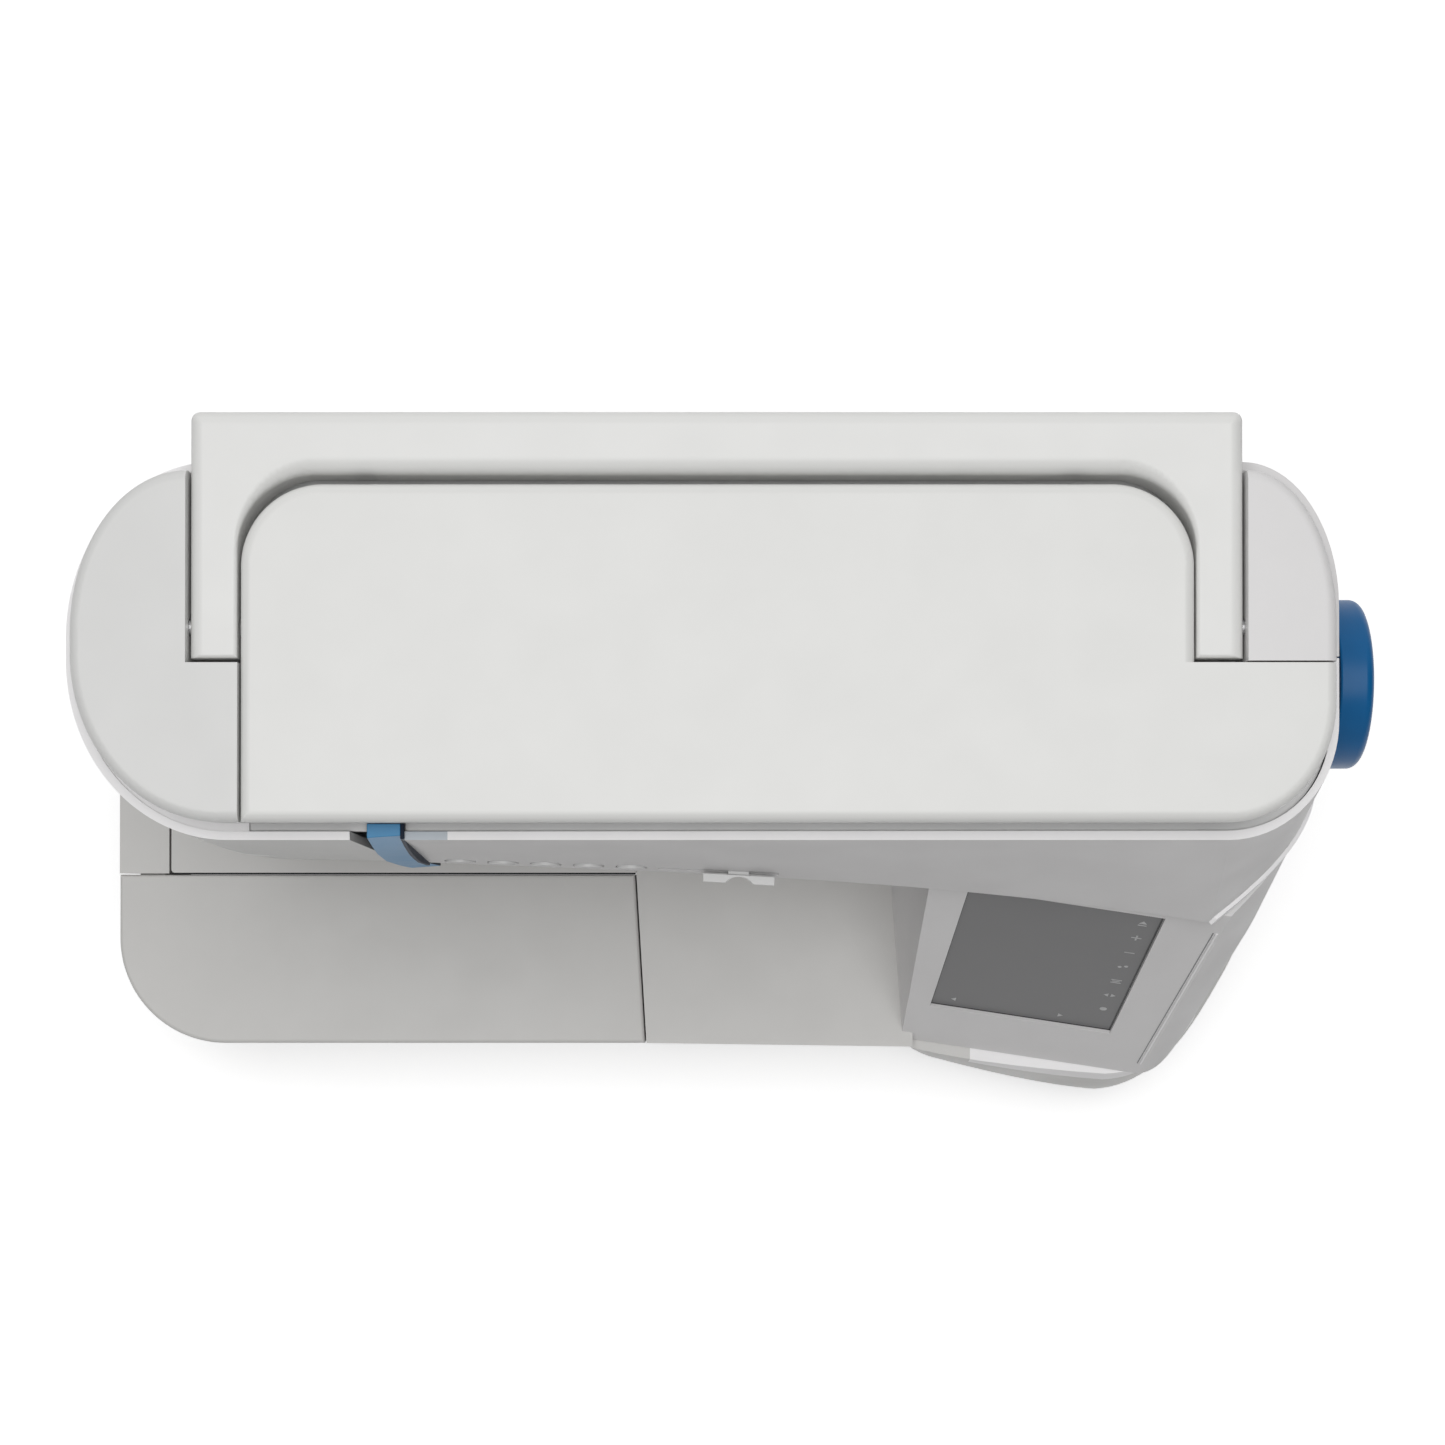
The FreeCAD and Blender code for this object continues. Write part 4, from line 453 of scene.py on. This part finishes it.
# A column of generic marks down the screen's right side, and an arrow in each lower corner.
column = half_w - 0.0062
FIRST_ROW, ROW_STEP = 0.009, 0.0128
rows = [half_h - FIRST_ROW - ROW_STEP * i for i in range(7)]
marks = [
    arrow(column, rows[0], 0.0016, 0, 1), bar(column, rows[0] - 0.0022, 0.0034, 0.0006),
    bar(column, rows[1], 0.0040, 0.0007), bar(column, rows[1], 0.0007, 0.0040),
    bar(column, rows[2], 0.0040, 0.0007),
    dot(column - 0.0012, rows[3], 0.0008), dot(column + 0.0012, rows[3] + 0.001, 0.0008),
    bar(column, rows[4] + 0.0012, 0.0042, 0.0006), bar(column, rows[4], 0.0030, 0.0006),
    bar(column, rows[4] - 0.0012, 0.0042, 0.0006),
    arrow(column - 0.0014, rows[5], 0.0014, -1, 0), arrow(column + 0.0014, rows[5], 0.0014, 1, 0),
    dot(column, rows[6], 0.0015),
    arrow(-half_w + 0.0085, -half_h + 0.0065, 0.0014, -1, 0),
    arrow(half_w - 0.022, -half_h + 0.0065, 0.0014, 1, 0),
]
joined("screen_marks", marks, outward, 0.00004, "control_grey", BODY_OF["screen_glass"],
       "screen_mark")

# Painted shadow in the gap round the glass: dark strips, wider on the right and at the bottom, let
# into the panel a little.
reach, sunk = 0.0007, 0.0003
frame_bars = [bar(half_w + reach * 0.3, 0, reach * 1.5, 2 * half_h + 2 * reach),
              bar(-half_w - reach * 0.2, 0, reach * 0.8, 2 * half_h + 2 * reach),
              bar(0, -half_h - reach * 0.3, 2 * half_w + reach, reach * 1.6),
              bar(0, half_h + reach * 0.2, 2 * half_w + reach, reach * 0.8)]
sunk_bars = [[point - outward * sunk for point in outline] for outline in frame_bars]
joined("screen_gap_painted_shadow", sunk_bars, outward, 0.00036, "black_plastic", BODY_OF["screen_glass"])

# Height and front of the ribbon's bow, and the back of the wall beside it, in metres.
BOW_BACK = 0.006
BOW = ((0.200, -0.0276), (0.227, -0.0267), (0.240, -0.0256), (0.252, -0.0243), (0.267, -0.0216),
       (0.2796, -0.0188))


def bowed_strip(name, left, right, back, slot, finish):
    """Strip that follows the ribbon's bow, set back from its face."""
    bm = bmesh.new()
    rings = [[bm.verts.new((x, y + set_back, z)) for x, set_back in
              ((left, back), (right, back), (right, BOW_BACK), (left, BOW_BACK))] for z, y in BOW]
    for low, high in zip(rings, rings[1:]):
        walls(bm, low, high)
    bm.faces.new(rings[0][::-1])
    bm.faces.new(rings[-1])
    bmesh.ops.recalc_face_normals(bm, faces=bm.faces)
    return dress(finish_mesh(new_object(name, bm), 0.0002), slot, BODY_OF["ribbon_trim"], finish)


# Wall beside the ribbon, dark with painted shade.
bowed_strip("ribbon_wall", -0.0999, -0.0985, -0.0004, "ribbon_blue", "ribbon_side_painted_shade")

# Painted shadow down in the seam between the free arm and the table: a dark strip in the gap.
seam_rim = [Vector((x, y, 0.070)) for x, y in ((-0.2228, -0.0311), (-0.0252, -0.0311),
                                               (-0.0252, -0.03035), (-0.2228, -0.03035))]
joined("bed_seam_painted_shadow", [seam_rim], Vector((0, 0, 1)), 0.0047, "black_plastic",
       BODY_OF["free_arm_cover"])


def outline_band(name, node, low, high, lift, slot, finish, chosen):
    """Raised band round a cover between two heights, made from the cover's own outer faces."""
    bm = clean_copy(node)
    for height, keep_above in ((low, True), (high, False)):
        bmesh.ops.bisect_plane(bm, geom=bm.verts[:] + bm.edges[:] + bm.faces[:], dist=1e-7,
                               plane_co=(0, 0, height), plane_no=(0, 0, 1),
                               clear_outer=not keep_above, clear_inner=keep_above)
    bm.normal_update()
    drop = [f for f in bm.faces if not chosen(f.calc_center_median(), f.normal)]
    bmesh.ops.delete(bm, geom=drop, context="FACES")
    bmesh.ops.remove_doubles(bm, verts=bm.verts, dist=1e-5)
    bm.normal_update()
    moves = {v: Vector((v.normal.x, v.normal.y, 0)).normalized() * lift for v in bm.verts}
    outer = bmesh.ops.extrude_face_region(bm, geom=bm.faces[:])
    for vert in [part for part in outer["geom"] if isinstance(part, bmesh.types.BMVert)]:
        vert.co += moves[min(moves, key=lambda original: (original.co - vert.co).length)]
    bmesh.ops.recalc_face_normals(bm, faces=bm.faces)
    return dress(finish_mesh(new_object(name, bm), 0.0004), slot, BODY_OF[node], finish)


# Bead round the lower right end of the arm, on the faces that look away from its middle, bright
# with a painted highlight.
ARM_MIDDLE = Vector((0.15, 0.03))
outline_band("arm_edge", "front_cover", 0.2, 0.2055, 0.0014, "shell_white", "lip_painted_highlight",
             lambda c, n: c.x > 0.197 and (n.x > 0.25 or n.y < -0.25)
             and n.xy.dot(c.xy - ARM_MIDDLE) > 0)


def tube(name, points, radius, slot, body, finish=None):
    """Round bead along a few points."""
    curve = bpy.data.curves.new(name + "_path", "CURVE")
    curve.dimensions = "3D"
    curve.bevel_depth = radius
    curve.bevel_resolution = 3
    curve.use_fill_caps = True
    spline = curve.splines.new("POLY")
    spline.points.add(len(points) - 1)
    for target, point in zip(spline.points, points):
        target.co = (*point, 1)
    holder = bpy.data.objects.new(name + "_path", curve)
    mesh = bpy.data.meshes.new_from_object(holder)
    bpy.data.objects.remove(holder)
    obj = new_object(name, mesh)
    mesh.shade_smooth()
    return dress(obj, slot, body, finish)


# Fine bead down the right-hand edge of the screen panel, bright with a painted highlight, and a
# dark line of painted shadow beside it.
edge_top, edge_foot = Vector((0.2012, -0.0541, 0.187)), Vector((0.1895, -0.1114, 0.0785))
tube("panel_bead_painted_highlight", [edge_foot, edge_top], 0.0005, "shell_white", BODY_OF["front_cover"],
     "lip_painted_highlight")
across = Vector((-0.0013, 0.0002, 0))
tube("panel_painted_shadow_line", [edge_foot + across, edge_top + across], 0.00022, "control_grey",
     BODY_OF["front_cover"])

# Rear face: dark crosses for the recesses in the screw heads and dark plates for the cooling
# slots, both painted shade of the hollows, with a rim under each slot.
rear_out = Vector((0, 1, 0))
REAR_SCREWS = ((-0.130, 0.215), (0.020, 0.262), (0.176, 0.262), (0.104, 0.090), (0.182, 0.090))
SCREW_FACE, REAR_FACE = 0.1117, 0.1119
SLOT_PLACES = [(x, 0.222 + 0.0062 * i) for x in (0.060, 0.096, 0.132) for i in range(5)]


def upright(x, y, z, wide, high):
    """Corners of an upright rectangle round a point."""
    return [Vector((x + a * wide / 2, y, z + b * high / 2)) for a, b in ((-1, -1), (1, -1), (1, 1),
                                                                         (-1, 1))]


crosses = [upright(x, SCREW_FACE, z, *size) for x, z in REAR_SCREWS
           for size in ((0.0046, 0.0010), (0.0010, 0.0046))]
joined("screw_crosses", crosses, rear_out, 0.00008, "black_plastic", BODY_OF["machine_screws"])
slots = [upright(x, REAR_FACE, z, 0.030, 0.0026) for x, z in SLOT_PLACES]
joined("cooling_slots", slots, rear_out, 0.0002, "black_plastic", BODY_OF["rear_cover"])
rims = [upright(x, REAR_FACE, z - 0.0018, 0.031, 0.0007) for x, z in SLOT_PLACES]
joined("slot_rims", rims, rear_out, 0.0005, "shell_white", BODY_OF["rear_cover"])


# ---------------------------------------------------------------- stage, light, camera
HALF_FLOOR = 40
floor_mesh = bpy.data.meshes.new("floor")
floor_mesh.from_pydata([(x * HALF_FLOOR, y * HALF_FLOOR, 0)
                        for x, y in ((-1, -1), (1, -1), (1, 1), (-1, 1))], [], [(0, 1, 2, 3)])
floor = bpy.data.objects.new("floor", floor_mesh)
SCENE.collection.objects.link(floor)
floor_tree = Tree("floor_paper").put(Specular_IOR_Level=0.1, Emission_Color=(1, 1, 1, 1),
                                     Emission_Strength=0.45)
floor_tree.colour(floor_tree.blend(floor_tree.spread(floor_tree.noise(3), 0, 1),
                                   (0.90, 0.90, 0.90), (0.91, 0.91, 0.91)))
floor_tree.roughness(floor_tree.spread(floor_tree.noise(20), 0.8, 0.9))
floor.data.materials.append(floor_tree.material)
floor.visible_diffuse = False        # a white sweep that throws no light back up

# Studio dome: broad sources that grow towards the front, rear and left of the room.
# Each has its axis, the side of it that it is on, and its strength.
DOME = (("Y", -1.0, 0.56), ("Y", 1.0, 0.95), ("X", -1.0, 0.1))
world = bpy.data.worlds.new("studio")
world.use_nodes = True
SCENE.world = world
sky = world.node_tree


def sky_math(operation, *inputs):
    node = sky.nodes.new("ShaderNodeMath")
    node.operation = operation
    for socket, value in zip(node.inputs, inputs):
        if isinstance(value, (int, float)):
            socket.default_value = value
        else:
            sky.links.new(value, socket)
    return node.outputs[0]


direction = sky.nodes.new("ShaderNodeTexCoord").outputs["Generated"]
split = sky.nodes.new("ShaderNodeSeparateXYZ")
sky.links.new(direction, split.inputs[0])
total = 0.0
for axis, sign, strength in DOME:
    towards = sky_math("MAXIMUM", sky_math("MULTIPLY", split.outputs[axis], sign), 0.0)
    total = sky_math("ADD", total, sky_math("MULTIPLY", towards, strength))
# It fades below the horizon, and the camera itself sees plain white.
horizon = sky.nodes.new("ShaderNodeMapRange")
horizon.inputs["From Min"].default_value = -0.25
horizon.inputs["From Max"].default_value = 0.0
horizon.inputs["To Min"].default_value = 0.1
horizon.inputs["To Max"].default_value = 1.0
sky.links.new(split.outputs["Z"], horizon.inputs["Value"])
seen = sky.nodes.new("ShaderNodeLightPath").outputs["Is Camera Ray"]
lit = sky_math("MULTIPLY", total, horizon.outputs["Result"])
sky.links.new(sky_math("ADD", sky_math("MULTIPLY", lit, sky_math("SUBTRACT", 1.0, seen)), seen),
              sky.nodes["Background"].inputs["Strength"])
sky.nodes["Background"].inputs["Color"].default_value = (1, 1, 1, 1)


softbox = bpy.data.lights.new("softbox_top", "AREA")
softbox.shape = "RECTANGLE"
softbox.size, softbox.size_y = 2.0, 1.6
softbox.energy = 30
softbox_holder = bpy.data.objects.new("softbox_top", softbox)
softbox_holder.location = (0.0, 0.1, 2.4)
aim = Vector((0, 0, 0.1)) - softbox_holder.location
softbox_holder.rotation_euler = aim.to_track_quat("-Z", "Y").to_euler()
SCENE.collection.objects.link(softbox_holder)

SCENE.view_settings.view_transform = "Standard"

SENSOR, LENS = 36, 64.15225          # millimetres
CAMERA_TILT = radians(0.5)
DOWNWARD = 0.061165                  # slope from the view's middle to the point below the camera
camera_data = bpy.data.cameras.new("camera")
camera_data.sensor_width = SENSOR
camera_data.lens = LENS
camera_data.clip_start = 0.05
camera_data.clip_end = 50
camera_data.shift_y = (DOWNWARD - tan(CAMERA_TILT)) * LENS / SENSOR
camera = bpy.data.objects.new("camera", camera_data)
camera.location = (0.012, -0.0335, 1.173)
camera.rotation_euler = (CAMERA_TILT, 0, 0)
SCENE.collection.objects.link(camera)
SCENE.camera = camera
